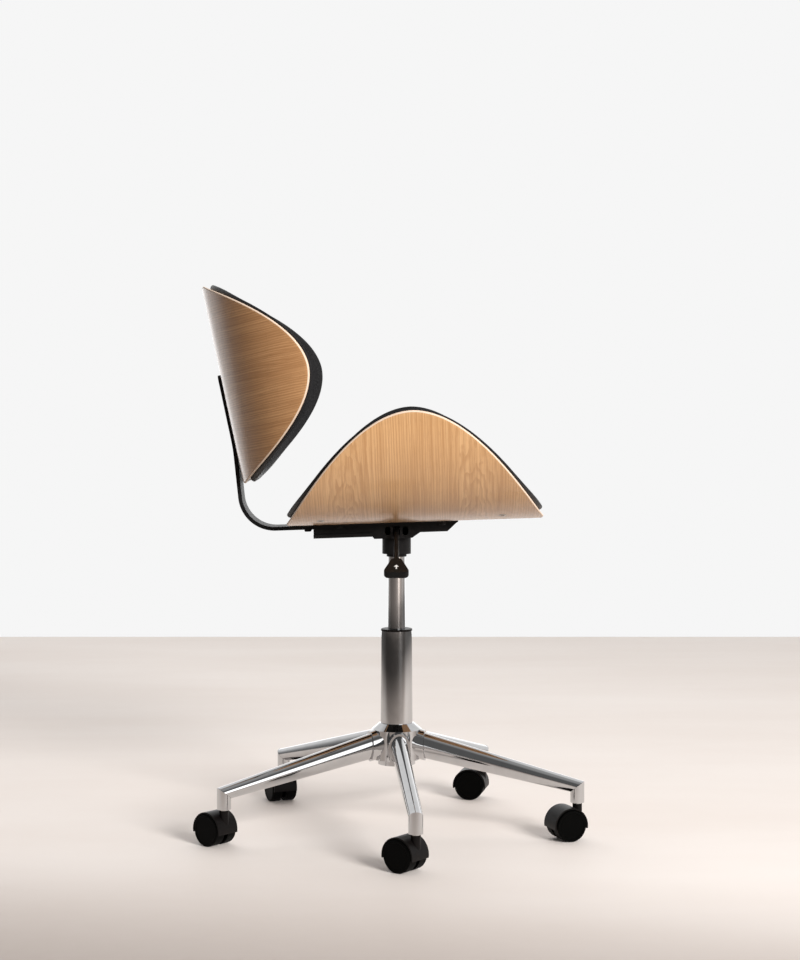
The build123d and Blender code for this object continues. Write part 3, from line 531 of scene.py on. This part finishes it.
def shell_piece(name, sheet, finish):
    """The veneered sheet: outer face, inner face and a sawn edge with rounded corners."""
    rows, columns, arc_steps = 121, 141, 4
    hair = 1e-6
    closing_step = 0.002
    share = np.sin(np.linspace(-1, 1, rows) * math.pi / 2)
    fractions = np.linspace(-1, 1, columns)
    full_height = sheet.outline_height(share * sheet.half_length)
    curve = (full_height - lip) / (sheet.height - lip)

    def level(inset, from_outer, from_inner):
        """The sheet's net at a depth, cut to an outline drawn in by the inset."""
        height = full_height - inset * curve
        thick = np.minimum(ply, height)
        depth = from_outer if from_inner is None else thick - from_inner
        depth = np.broadcast_to(depth, thick.shape)
        ways = np.multiply.outer(sheet.way_to(depth, height), fractions)
        along = share * (sheet.half_length - inset)
        points = sheet.place(along[:, None], ways, depth[:, None])[0]
        return points, along, ways, depth

    turns = np.linspace(0, math.pi / 2, arc_steps)
    insets = edge_rounding * (1 - np.sin(turns))
    depths = edge_rounding * (1 - np.cos(turns))
    profile = list(zip(insets, depths))
    levels = [level(inset, depth, None) for inset, depth in profile]
    levels += [level(inset, 0.0, depth) for inset, depth in reversed(profile)]
    rim = [(row, 0) for row in range(rows)]
    rim += [(rows - 1, column) for column in range(1, columns)]
    rim += [(row, columns - 1) for row in range(rows - 2, -1, -1)]
    rim += [(0, column) for column in range(columns - 2, 0, -1)]
    rim_rows, rim_columns = np.array(rim).T
    mesh = bmesh.new()
    mapped = mesh.loops.layers.uv.new("grain")

    def face(corners, material, spots):
        made = mesh.faces.new(corners)
        made.smooth = True
        made.material_index = material
        for loop, spot in zip(made.loops, spots):
            loop[mapped].uv = spot

    nets = {}
    for side in (0, len(levels) - 1):
        points, along, ways, depth = levels[side]
        net = [[mesh.verts.new(point) for point in row] for row in points]
        nets[side] = net
        for row in range(rows - 1):
            sawn = side > 0 and min(depth[row], depth[row + 1]) < ply - hair
            for column in range(columns - 1):
                places = [(row, column), (row, column + 1)]
                places += [(row + 1, column + 1), (row + 1, column)]
                corners = [net[r][c] for r, c in places]
                if sawn:
                    face(corners, 1, [(ways[r, c], depth[r]) for r, c in places])
                else:
                    face(corners, 0, [(along[r], ways[r, c]) for r, c in places])
    rings = []
    rim_points = [points[rim_rows, rim_columns] for points, along, ways, depth in levels]
    for index, points in enumerate(rim_points):
        if index in nets:
            rings.append([nets[index][row][column] for row, column in rim])
        else:
            rings.append([mesh.verts.new(point) for point in points])
    first = rim_points[0]
    run = np.concatenate([[0], np.cumsum(np.linalg.norm(np.diff(first, axis=0), axis=1))])
    for index in range(len(levels) - 1):
        near, far = rings[index], rings[index + 1]
        low, high = [depth.max() for points, along, ways, depth in levels[index : index + 2]]
        for step in range(len(rim)):
            after = (step + 1) % len(rim)
            start, end = run[step], run[after] if after else run[-1] + closing_step
            corners = (near[step], near[after], far[after], far[step])
            face(corners, 1, [(start, low), (end, low), (end, high), (start, high)])
    bmesh.ops.recalc_face_normals(mesh, faces=mesh.faces)
    data = bpy.data.meshes.new(name)
    mesh.to_mesh(data)
    mesh.free()
    return new_piece(name, data, [finish, ply_edge])


# Pads

lip_thickness = 0.0042
end_roll = 0.0058
end_overhang = 0.003
roll_full = 0.38
roll_gone = 0.72
slack_crown = 0.0165
dome_reach = 0.05
dome_power = 2.6
seam_depth = 0.0014
seam_width = 0.0016
stitch_inset = 0.0035
stitch_length = 0.005
thread_radius = 0.00045
thread_lift = 0.0001
tip_slack = 0.0006
held_margin, free_margin = 0.001, 0.012
outline_points = 480
pad_cells = 96
stuffing_frames = 20
stuffing_cap = 0.006


def smooth_share(value, low, high):
    """0 below low, 1 above high and an easy curve between."""
    share = np.clip((value - low) / (high - low), 0, 1)
    return share * share * (3 - 2 * share)


def end_share(way, full_way):
    """1 along a pad's two ends, falling to 0 up the wings."""
    return 1 - smooth_share(np.abs(way) / full_way, roll_full, roll_gone)


def pad_outline(sheet):
    """Closed outline of a pad on the unrolled sheet, as (along, way) points."""
    depth = ply + pad_gap
    top = sheet.height + pad_proud
    full_way = float(sheet.way_to(depth, top))
    ways = np.sin(np.linspace(-1, 1, outline_points // 2) * math.pi / 2) * full_way
    points = sheet.place(0.0, ways, depth)[0]
    height = (points - sheet.centre) @ sheet.rise
    reach = sheet.outline_reach(height, pad_proud)
    reach = reach + end_overhang * end_share(ways, full_way)
    front = np.stack([reach, ways], 1)
    rear = np.stack([-reach, ways], 1)[::-1]
    loop = np.concatenate([front, rear[1:-1]])
    steps = np.linalg.norm(np.roll(loop, -1, 0) - loop, axis=1)
    far = np.concatenate([[0], np.cumsum(steps)])
    even = np.linspace(0, far[-1], outline_points, endpoint=False)
    closed = np.concatenate([loop, loop[:1]])
    return np.stack([np.interp(even, far, closed[:, axis]) for axis in (0, 1)], 1), full_way


def from_outline(spots, outline):
    """Distance of each spot from the outline, and the way round to the nearest place on it."""
    ends = np.roll(outline, -1, 0)
    steps = ends - outline
    lengths = np.linalg.norm(steps, axis=1)
    starts = np.concatenate([[0], np.cumsum(lengths)[:-1]])
    best = np.full(len(spots), np.inf)
    run = np.zeros(len(spots))
    for begin, step, length, start in zip(outline, steps, lengths, starts):
        share = np.clip((spots - begin) @ step / length**2, 0, 1)
        gap = np.linalg.norm(spots - begin - np.multiply.outer(share, step), axis=1)
        nearer = gap < best
        best[nearer] = gap[nearer]
        run[nearer] = start + share[nearer] * length
    return best, run


def pad_spots(outline):
    """A square net of pad_cells each way, spread over the outline on the unrolled sheet."""
    angles = np.arctan2(outline[:, 1], outline[:, 0])
    order = np.argsort(angles)
    radius = np.linalg.norm(outline, axis=1)[order]
    angles = angles[order]
    line = np.linspace(-1, 1, pad_cells + 1)
    x, y = np.meshgrid(line, line, indexing="ij")
    disc_x = x * np.sqrt(1 - y**2 / 2)
    disc_y = y * np.sqrt(1 - x**2 / 2)
    half_length, half_way = outline.max(0)
    aspect = half_way / half_length
    angle = np.arctan2(disc_y * aspect, disc_x)
    share = np.hypot(disc_x, disc_y)
    reach = np.interp(angle, angles, radius, period=2 * math.pi)
    return np.stack([share * reach * np.cos(angle), share * reach * np.sin(angle)], -1)


def pad_edge(way, full_way):
    """Thickness of a pad's edge: a thin sewn lip along the wings, a full roll at the two ends."""
    return lip_thickness + end_roll * end_share(way, full_way)


def pad_thickness(inside, way, full_way):
    """Thickness of a pad before it is stuffed: a rounded edge, a seam and a low dome."""
    edge = pad_edge(way, full_way)
    rounding = 0.55 * edge + 0.0006
    rim = edge * np.sqrt(1 - (1 - np.clip(inside / rounding, 0, 1)) ** 2)
    fill = 0.2 + 0.8 * (1 - np.abs(way / full_way) ** 3)
    rise = np.clip((inside - border_width) / dome_reach, 0, 1)
    dome = (slack_crown - lip_thickness) * fill * (1 - (1 - rise) ** dome_power)
    dome = np.maximum(dome - (edge - lip_thickness) * rise, 0)
    seam = seam_depth * np.exp(-(((inside - border_width) / seam_width) ** 2))
    return rim + dome - seam


def stuff(piece, held):
    """Swell a closed net by a cloth simulation, held where told, and keep the shape it takes."""
    data = piece.data
    count = len(data.vertices)
    slack = np.empty(count * 3)
    data.vertices.foreach_get("co", slack)
    slack = slack.reshape(-1, 3)
    group = piece.vertex_groups.new(name="held")
    for index, weight in enumerate(held):
        if weight > 0:
            group.add([index], float(weight), "REPLACE")
    cloth = piece.modifiers.new("stuffing", "CLOTH")
    rules = cloth.settings
    rules.quality = 5
    rules.mass = 0.3
    rules.tension_stiffness = rules.compression_stiffness = 18
    rules.shear_stiffness = 8
    rules.bending_stiffness = 6
    rules.shrink_min = -0.004
    rules.use_pressure = True
    rules.uniform_pressure_force = 4
    rules.vertex_group_mass = "held"
    rules.effector_weights.gravity = 0
    cloth.collision_settings.use_collision = False
    cloth.point_cache.frame_start = 1
    cloth.point_cache.frame_end = stuffing_frames
    for number in range(1, stuffing_frames + 1):
        scene.frame_set(number)
    shown = piece.evaluated_get(bpy.context.evaluated_depsgraph_get())
    full = np.empty(count * 3)
    shown.data.vertices.foreach_get("co", full)
    moved = full.reshape(-1, 3) - slack
    piece.modifiers.remove(cloth)
    piece.vertex_groups.remove(group)
    scene.frame_set(1)
    far = np.linalg.norm(moved, axis=1)
    kept = stuffing_cap * np.tanh(far / stuffing_cap)
    moved *= (kept / np.maximum(far, 1e-9))[:, None]
    data.vertices.foreach_set("co", (slack + moved).ravel())
    data.update()


def pad_piece(name, sheet):
    """A leather pad that lines the sheet, stuffed inside its seam."""
    outline, full_way = pad_outline(sheet)
    spots = pad_spots(outline)
    side = pad_cells + 1
    flat_spots = spots.reshape(-1, 2)
    inside, run = from_outline(flat_spots, outline)
    rim = np.zeros((side, side), bool)
    rim[[0, -1], :] = True
    rim[:, [0, -1]] = True
    inside[rim.ravel()] = 0
    along, way = flat_spots[:, 0], flat_spots[:, 1]
    thick = pad_thickness(inside, way, full_way)
    edge = pad_edge(way, full_way)
    under, normal = sheet.place(along, way, ply + pad_gap)
    rim_lift = edge / 2 * (1 - np.clip(inside / edge * 1.6, 0, 1)) ** 2
    top = under + normal * np.maximum(thick, rim_lift)[:, None]
    bottom = under + normal * rim_lift[:, None]
    count = side * side
    index = np.arange(count).reshape(side, side)
    lower = np.full((side, side), -1)
    lower[~rim] = count + np.arange((~rim).sum())
    lower[rim] = index[rim]
    faces = []
    for row in range(pad_cells):
        for column in range(pad_cells):
            for net, turn in ((index, 1), (lower, -1)):
                down = [row, row + 1, row + 1, row]
                across = [column, column, column + 1, column + 1]
                faces.append([int(corner) for corner in net[down, across][::turn]])
    within = ~rim.ravel()
    data = bpy.data.meshes.new(name)
    data.from_pydata(np.concatenate([top, bottom[within]]).tolist(), [], faces)
    run_all = np.concatenate([run, run[within]])
    inside_all = np.concatenate([inside, inside[within]])
    seam_map = data.uv_layers.new(name="seam")
    for loop in data.loops:
        seam_map.data[loop.index].uv = (run_all[loop.vertex_index], inside_all[loop.vertex_index])
    piece = new_piece(name, data, [leather])
    turn_out(data)
    free_top = smooth_share(inside, border_width + held_margin, border_width + free_margin)
    held = np.concatenate([1 - free_top, np.ones(int(within.sum()))])
    stuff(piece, held)
    finer = piece.modifiers.new("finer", "SUBSURF")
    finer.levels = finer.render_levels = 1
    return piece, seam_line(sheet, outline, full_way)


def seam_line(sheet, outline, full_way):
    """Points on a pad's border, a little inside its seam, where the thread shows."""
    ahead = np.roll(outline, -1, 0) - np.roll(outline, 1, 0)
    inward = np.stack([-ahead[:, 1], ahead[:, 0]], 1)
    inward /= np.linalg.norm(inward, axis=1)[:, None]
    if np.sum(inward * outline) > 0:
        inward = -inward
    stitched = border_width - stitch_inset
    spots = outline + inward * stitched
    inside = from_outline(spots, outline)[0]
    spots = spots[inside > stitched - tip_slack]
    under, normal = sheet.place(spots[:, 0], spots[:, 1], ply + pad_gap)
    height = pad_thickness(np.full(len(spots), stitched), spots[:, 1], full_way)
    return under + normal * (height + thread_lift)[:, None]


# Geometry trees

class Recipe(Tree):
    """A geometry tree with named inputs, ended by Realize Instances and Set Material."""

    def __init__(self, name, sizes):
        self.group = bpy.data.node_groups.new(name, "GeometryNodeTree")
        super().__init__(self.group)
        interface = self.group.interface
        interface.new_socket("Geometry", in_out="INPUT", socket_type="NodeSocketGeometry")
        kinds = {label: "NodeSocketFloat" for label in sizes}
        kinds["Finish"] = "NodeSocketMaterial"
        self.sockets = {}
        for label, kind in kinds.items():
            self.sockets[label] = interface.new_socket(label, in_out="INPUT", socket_type=kind)
        interface.new_socket("Geometry", in_out="OUTPUT", socket_type="NodeSocketGeometry")
        self.given = self.node("NodeGroupInput")

    def size(self, label):
        return self.given.out(label)

    def vector(self, x, y, z):
        return self.node("ShaderNodeCombineXYZ", None, {0: x, 1: y, 2: z})

    def end(self, instances):
        """Close the tree on the instances it made."""
        real = self.node("GeometryNodeRealizeInstances", None, {"Geometry": instances})
        finish = self.given.out("Finish")
        finished = self.node(
            "GeometryNodeSetMaterial", None, {"Geometry": real, "Material": finish}
        )
        self.node("NodeGroupOutput", None, {0: finished})

    def make(self, name, guide, finish, sizes):
        """A plain mesh piece that the tree makes on a guide mesh."""
        holder = bpy.data.objects.new(f"{name}_guide", guide)
        scene.collection.objects.link(holder)
        modifier = holder.modifiers.new("recipe", "NODES")
        modifier.node_group = self.group
        for label, value in {**sizes, "Finish": finish}.items():
            modifier[self.sockets[label].identifier] = value
        shown = holder.evaluated_get(bpy.context.evaluated_depsgraph_get())
        mesh = bpy.data.meshes.new_from_object(shown)
        mesh.name = name
        holder.modifiers.remove(modifier)
        bpy.data.objects.remove(holder)
        return new_piece(name, mesh, [])


def stitch_recipe():
    """Stitches laid end to end along the guide's edges."""
    sizes = ("Spacing", "Stitch Length", "Thread Radius")
    recipe = Recipe("seam_stitches", sizes)
    spacing, length, radius = [recipe.size(label) for label in sizes]
    path = recipe.node("GeometryNodeMeshToCurve", None, {"Mesh": recipe.given.out("Geometry")})
    even = recipe.node(
        "GeometryNodeResampleCurve", {"mode": "LENGTH"}, {"Curve": path, "Length": spacing}
    )
    bead = recipe.node(
        "GeometryNodeMeshUVSphere", None, {"Segments": 8, "Rings": 6, "Radius": radius}
    )
    bead = recipe.node("GeometryNodeSetShadeSmooth", None, {"Geometry": bead})
    tangent = recipe.node("GeometryNodeInputTangent")
    turn = recipe.node("FunctionNodeAlignRotationToVector", {"axis": "X"}, {"Vector": tangent})
    stretched = recipe.vector(length / (2.0 * radius), 1.0, 1.0)
    laid = recipe.node(
        "GeometryNodeInstanceOnPoints",
        None,
        {"Points": even, "Instance": bead, "Rotation": turn, "Scale": stretched},
    )
    recipe.end(laid)
    return recipe


screw_sizes = (
    "Head Radius",
    "Head Height",
    "Key Radius",
    "Key Depth",
    "Shank Radius",
    "Shank Length",
)


def screw_recipe():
    """Hexagon-socket screws at the guide's points, heads out, along the stored facing."""
    crown_share, crown_taper, barrel_share = 0.25, 0.86, 0.76
    recipe = Recipe("socket_screws", screw_sizes)
    head, rise, key, sink, shank, reach = [recipe.size(label) for label in screw_sizes]

    def rod(sides, radius, depth, middle):
        body = recipe.node(
            "GeometryNodeMeshCylinder", None, {"Vertices": sides, "Radius": radius, "Depth": depth}
        )
        spot = recipe.vector(0.0, 0.0, middle)
        return recipe.node("GeometryNodeTransform", None, {"Geometry": body, "Translation": spot})

    crown = recipe.node(
        "GeometryNodeMeshCone",
        None,
        {
            "Vertices": 40,
            "Radius Top": head * crown_taper,
            "Radius Bottom": head,
            "Depth": rise * crown_share,
        },
    )
    lifted = recipe.vector(0.0, 0.0, rise * (1 - crown_share))
    crown = recipe.node("GeometryNodeTransform", None, {"Geometry": crown, "Translation": lifted})
    barrel = rod(40, head, rise * barrel_share, rise * (barrel_share / 2))
    solid = recipe.node("GeometryNodeMeshBoolean", {"operation": "UNION"}, {"Mesh 2": barrel})
    recipe.nodes_of.links.new(crown.socket, solid.socket.node.inputs["Mesh 2"])
    cut = recipe.node(
        "GeometryNodeMeshBoolean",
        {"operation": "DIFFERENCE"},
        {"Mesh 1": solid, "Mesh 2": rod(6, key, sink * 2.0, rise)},
    )
    stem = rod(16, shank, reach, reach * -0.5)
    whole = recipe.node("GeometryNodeJoinGeometry", None, {"Geometry": cut})
    recipe.nodes_of.links.new(stem.socket, whole.socket.node.inputs["Geometry"])
    facing = recipe.node(
        "GeometryNodeInputNamedAttribute", {"data_type": "FLOAT_VECTOR"}, {"Name": "facing"}
    )
    turn = recipe.node("FunctionNodeAlignRotationToVector", {"axis": "Z"}, {"Vector": facing})
    placed = recipe.node(
        "GeometryNodeInstanceOnPoints",
        None,
        {"Points": recipe.given.out("Geometry"), "Instance": whole, "Rotation": turn},
    )
    recipe.end(placed)
    return recipe


def point_guide(name, points, facings):
    """A mesh of loose points that carry the way each one faces."""
    guide = bpy.data.meshes.new(name)
    guide.from_pydata([tuple(point) for point in points], [], [])
    facing = guide.attributes.new("facing", "FLOAT_VECTOR", "POINT")
    for index, way in enumerate(facings):
        facing.data[index].vector = tuple(way)
    return guide


def loop_guide(name, loops):
    """A mesh of closed lines."""
    points, edges = [], []
    for loop in loops:
        first = len(points)
        points += [tuple(point) for point in loop]
        edges += [(first + n, first + (n + 1) % len(loop)) for n in range(len(loop))]
    guide = bpy.data.meshes.new(name)
    guide.from_pydata(points, edges, [])
    return guide


# Arms: the part's tapered ovals with a fine skin, so that the chrome shows smooth streaks

stem_circle = 0.2927
arm_start = 0.02775
mitre_height = 0.0834
arm_slope = math.tan(math.radians(12.8))
mitre_rise, mitre_run = 0.0223, 0.022
mitre_slope = mitre_rise / mitre_run - arm_slope
root_half = np.array((0.01425, 0.0215))
end_half = np.array((0.011, 0.01115))
arm_wall = 0.002
first_arm, arm_step = -84.4, 72


def arm_skin(angle, growth, rings, sides):
    """Rows of points on an arm's oval, from the hub to the mitre over the caster."""
    turn = np.linspace(0, 2 * math.pi, sides, endpoint=False)
    root = root_half + growth
    end = end_half + growth
    taper = (end - root) / (stem_circle - arm_start)
    mitre = end[1] * np.sin(turn) / (arm_slope + mitre_slope - taper[1] * np.sin(turn))
    share = np.linspace(0, 1, rings)[:, None]
    radius = arm_start + share * (stem_circle + mitre - arm_start)
    half = [root[axis] + taper[axis] * (radius - arm_start) for axis in (0, 1)]
    side = half[0] * np.cos(turn)
    height = mitre_height + arm_slope * (stem_circle - radius) + half[1] * np.sin(turn)
    cosine, sine = math.cos(math.radians(angle)), math.sin(math.radians(angle))
    forward = radius * cosine - side * sine
    aside = radius * sine + side * cosine
    return np.stack([forward, aside, height], -1)


def arm_piece(number):
    """A hollow arm with eased rims, open at both ends."""
    rings, sides = 30, 96
    angle = first_arm + arm_step * (number - 1)
    outer = arm_skin(angle, 0.0, rings, sides)
    inner = arm_skin(angle, -arm_wall, rings, sides)[::-1]
    rows = np.concatenate([outer, inner])
    count = len(rows)
    faces = []
    for row in range(count):
        for step in range(sides):
            near, far = row * sides, (row + 1) % count * sides
            after = (step + 1) % sides
            faces.append((near + step, near + after, far + after, far + step))
    data = bpy.data.meshes.new(f"arm_skin_{number}")
    data.from_pydata(rows.reshape(-1, 3).tolist(), [], faces)
    turn_out(data)
    piece = new_piece(f"chromed_arm_{number}", data, [chrome])
    ease = piece.modifiers.new("eased_edges", "BEVEL")
    ease.width = 0.0005
    ease.segments = 2
    ease.limit_method = "ANGLE"
    ease.angle_limit = math.radians(35)
    ease.harden_normals = True
    return piece


def carry(piece, body, slot, *replaced):
    """Make a piece move with a body and stand for CAD nodes, which it hides; the slot is not used.
    """
    if replaced:
        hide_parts(*replaced)
    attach(piece, body)


for number in arm_numbers:
    carry(arm_piece(number), "base", "chrome", f"arm_{number}")

seams = []
for name, sheet, finish in (("seat", seat, seat_oak), ("back", back, back_oak)):
    shell = shell_piece(f"{name}_veneered_shell", sheet, finish)
    carry(shell, "seat_unit", "oak_plywood", f"{name}_shell")
    pad, seam = pad_piece(f"{name}_leather_pad", sheet)
    carry(pad, "seat_unit", "black_leather", f"{name}_pad")
    seams.append(seam)

stitches = stitch_recipe().make(
    "pad_stitches",
    loop_guide("pad_seams", seams),
    thread,
    {"Spacing": stitch_pitch, "Stitch Length": stitch_length, "Thread Radius": thread_radius},
)
carry(stitches, "seat_unit", "black_leather")

# Screws and bolts
screws = screw_recipe()


def screw_piece(name, spots, facings, finish, *sizes):
    """Screws at the spots, with sizes in the order of screw_sizes."""
    guide = point_guide(f"{name}_spots", spots, facings)
    return screws.make(name, guide, finish, dict(zip(screw_sizes, sizes)))


screw_seat_depth = 0.0026
screw_way = seat.flat + math.radians(18) * seat.radius
screw_spots, screw_facings = [], []
for side in (-1, 1):
    for forward in (0.135, -0.146):
        point, normal = seat.place(forward, side * screw_way, screw_seat_depth)
        screw_spots.append(point)
        screw_facings.append(-normal)
pad_screw_sizes = (0.0063, 0.003, 0.0028, 0.0022, 0.0025, 0.0165)
pad_screw_heads = screw_piece(
    "pad_screw_heads", screw_spots, screw_facings, screw_steel, *pad_screw_sizes
)
carry(pad_screw_heads, "seat_unit", "bright_steel", "pad_screws")

seat_foot = np.array((0, 0, 0.50137))
plate_heads_below, bar_heads_below = 0.003, 0.009
plate_bolts_at = [(-0.09, -0.049), (-0.09, 0.049), (0.072, -0.049), (0.072, 0.049)]
bar_bolts_at = [(-0.142, -0.015), (-0.142, 0.015)]
bolt_spots = []
for places, below in ((plate_bolts_at, plate_heads_below), (bar_bolts_at, bar_heads_below)):
    for forward, aside in places:
        spot = seat_foot + seat.along * forward + np.array((0, aside, 0))
        bolt_spots.append(spot - seat.rise * below)
bolt_facings = [-seat.rise] * len(bolt_spots)
bolt_sizes = (0.0055, 0.004, 0.0026, 0.0024, 0.003, 0.0145)
bolt_heads = screw_piece("bolt_heads", bolt_spots, bolt_facings, black_steel, *bolt_sizes)
carry(bolt_heads, "seat_unit", "black_steel", "plate_bolts", "bar_bolts")

back_heads_behind = 0.0028
back_seats = back.centre - back.rise * back_heads_behind
back_spots = [back_seats - back.along * drop for drop in (0.01, 0.07)]
back_facings = [-back.rise] * len(back_spots)
back_bolt_sizes = (0.006, 0.0034, 0.0026, 0.0024, 0.003, 0.0142)
back_bolt_heads = screw_piece(
    "back_bolt_heads", back_spots, back_facings, black_steel, *back_bolt_sizes
)
carry(back_bolt_heads, "seat_unit", "black_steel", "back_bolts")


def lift_arrow():
    """A plain printed arrow on the lever's paddle."""
    slope = math.radians(23.6)
    face_height, print_thickness = 0.0055, 0.00012
    stem_half, head_half = 0.001, 0.0038
    tail, neck, tip = 0.035, 0.0285, 0.0225
    down = np.array((0, -math.cos(slope), -math.sin(slope)))
    up = np.array((0, -math.sin(slope), math.cos(slope)))
    foot = np.array((0, -0.19556, 0.45185)) + up * face_height
    shape = [
        (-stem_half, tail),
        (stem_half, tail),
        (stem_half, neck),
        (head_half, neck),
        (0.0, tip),
        (-head_half, neck),
        (-stem_half, neck),
    ]
    net = bmesh.new()
    corners = []
    for across, along in shape:
        corners.append(net.verts.new(foot + np.array((across, 0, 0)) + down * along))
    face = net.faces.new(corners)
    grown = bmesh.ops.extrude_face_region(net, geom=[face])
    lifted = [item for item in grown["geom"] if isinstance(item, bmesh.types.BMVert)]
    bmesh.ops.translate(net, verts=lifted, vec=Vector(up * print_thickness))
    bmesh.ops.recalc_face_normals(net, faces=net.faces)
    data = bpy.data.meshes.new("lift_arrow")
    net.to_mesh(data)
    net.free()
    return new_piece("lift_arrow", data, [white_print])


carry(lift_arrow(), "height_lever", "black_nylon")


# Stage, light and camera

def floor_finish():
    """Pale studio floor with painted shade darkening it near the camera; reflections and bounce
    see painted shade fade it outwards, with painted light far out, strongest in a strip towards
    the key lamp.
    """
    floor = Finish("pale_floor", Specular_IOR_Level=0.25)
    cloud = floor.noise(floor.stretch(floor.place, (0.5, 1.6, 1)), 1.3, 4, 0.55)
    specks = floor.noise(floor.place, 30, 3)
    tint = floor.mix(floor.step(cloud, 0.25, 0.75), (0.72, 0.645, 0.595), (0.77, 0.705, 0.66))
    spot = floor.axes(floor.place)
    # Painted shade: the floor is darker towards the camera and to the near left.
    near = floor.step(spot.out("Y") + 0.2 * spot, -0.95, -0.2, 1.0, 0.0)
    painted_near_shade, black = (0.32, 0.27, 0.24), (0.0, 0.0, 0.0)
    tint = floor.mix(0.9 * near, tint, painted_near_shade)
    # Painted shade and light for rays other than the camera's: the floor fades to black away from
    # the lit middle. Far out it gets painted light back, most in a strip towards the key lamp. For
    # diffuse bounce it is painted at least 0.4 darker.
    path = floor.node("ShaderNodeLightPath")
    seen = path.out("Is Camera Ray")
    bounce = 0.4 * path.out("Is Diffuse Ray")
    lit_middle, key_heading = (0.25, 0.3, 0), (0.5, -0.866, 0)
    from_middle = floor.vector_value("DISTANCE", floor.place, lit_middle)
    outward = floor.node("ShaderNodeVectorMath", {"operation": "NORMALIZE"}, {0: floor.place})
    to_key = floor.vector_value("DOT_PRODUCT", outward, key_heading)
    painted_key_strip = floor.step(to_key, 0.985, 0.997)
    painted_far_light = floor.step(from_middle, 3.2, 3.8) * (0.42 + 0.48 * painted_key_strip)
    unlit = (floor.step(from_middle, 1.25, 2.6, 0.0, 0.92) - painted_far_light) * (1.0 - seen)
    tint = floor.mix(unlit.math("MAXIMUM", bounce), tint, black)
    return floor.surface(
        Base_Color=tint, Roughness=0.55 + 0.15 * specks, Normal=floor.bump(specks, 0.0005, 0.1)
    )


floor_mesh = bpy.data.meshes.new("studio_floor")
floor_side, floor_back = 9, 2.57
floor_corners = [
    (-floor_side, -floor_side, 0),
    (floor_side, -floor_side, 0),
    (floor_side, floor_back, 0),
    (-floor_side, floor_back, 0),
]
floor_mesh.from_pydata(floor_corners, [], [(0, 1, 2, 3)])
floor = new_piece("studio_floor", floor_mesh, [floor_finish()])


def studio_world():
    """A white wall for the camera; other rays meet it ahead, with a soft ceiling and a dark room.

    Glossy rays also meet a soft panel near the key lamp's direction and a flare on the wall.
    """
    world = bpy.data.worlds.new("studio")
    scene.world = world
    world.use_nodes = True
    sky = Tree(world.node_tree)
    path = sky.node("ShaderNodeLightPath")
    toward = sky.node("ShaderNodeTexCoord").out("Generated")
    side = sky.axes(toward)
    ahead, up = side.out("Y"), side.out("Z")
    wall = sky.step(ahead + 0.4 * side, -0.25, 0.4, 0.13, 0.92)
    right = sky.step(side, 0.3, 0.95, 0.0, 0.2)
    ceiling = sky.step(up, 0.5, 0.95, 0.0, 0.4)
    key_way = Vector((3.0, -5.05, 1.3)).normalized()
    facing_key = sky.vector_value("DOT_PRODUCT", toward, key_way)
    glossy = path.out("Is Glossy Ray")
    panel = sky.step(facing_key, 0.95, 0.99, 0.0, 2.6) * glossy
    flare = sky.step(ahead, 0.8, 0.98, 0.0, 0.8) * glossy
    room = wall.math("MAXIMUM", right).math("MAXIMUM", ceiling)
    soft = room.math("MAXIMUM", panel) + flare
    white = 0.921
    glow = soft + (white - soft) * path.out("Is Camera Ray")
    shade = sky.node("ShaderNodeCombineColor", None, {0: glow, 1: glow, 2: glow})
    light = sky.node("ShaderNodeBackground", None, {"Color": shade, "Strength": 1.0})
    sky.node("ShaderNodeOutputWorld", None, {"Surface": light})


studio_world()


def soft_lamp(name, place, target, size, power):
    """An area lamp that no reflection shows: the world's panel stands for it there."""
    lamp = bpy.data.lights.new(name, "AREA")
    lamp.shape = "RECTANGLE"
    lamp.size, lamp.size_y = size
    lamp.energy = power
    holder = bpy.data.objects.new(name, lamp)
    holder.location = place
    aim = Vector(target) - Vector(place)
    holder.rotation_euler = aim.to_track_quat("-Z", "Y").to_euler()
    holder.visible_glossy = False
    scene.collection.objects.link(holder)


middle = (0, 0, 0.45)
soft_lamp("key_lamp", (3.4, -5.05, 2.7), middle, size=(2.4, 2.0), power=640)
soft_lamp("overhead_lamp", (0.1, 1.1, 2.7), (0.1, 1.1, 0), size=(2.2, 1.6), power=11)
soft_lamp("rear_lamp", (-1.4, 2.5, 2.0), middle, size=(1.2, 1.6), power=9)

camera_data = bpy.data.cameras.new("photo_camera")
camera_data.lens = 75
camera_data.sensor_width = 36
camera_data.clip_end = 100
camera = bpy.data.objects.new("photo_camera", camera_data)
camera.location = (0.00545, -3.202, 0.703)
tilt_down = 2.46
camera.rotation_euler = (math.radians(90 - tilt_down), 0, 0)
scene.collection.objects.link(camera)
scene.camera = camera
scene.view_settings.view_transform = "Standard"
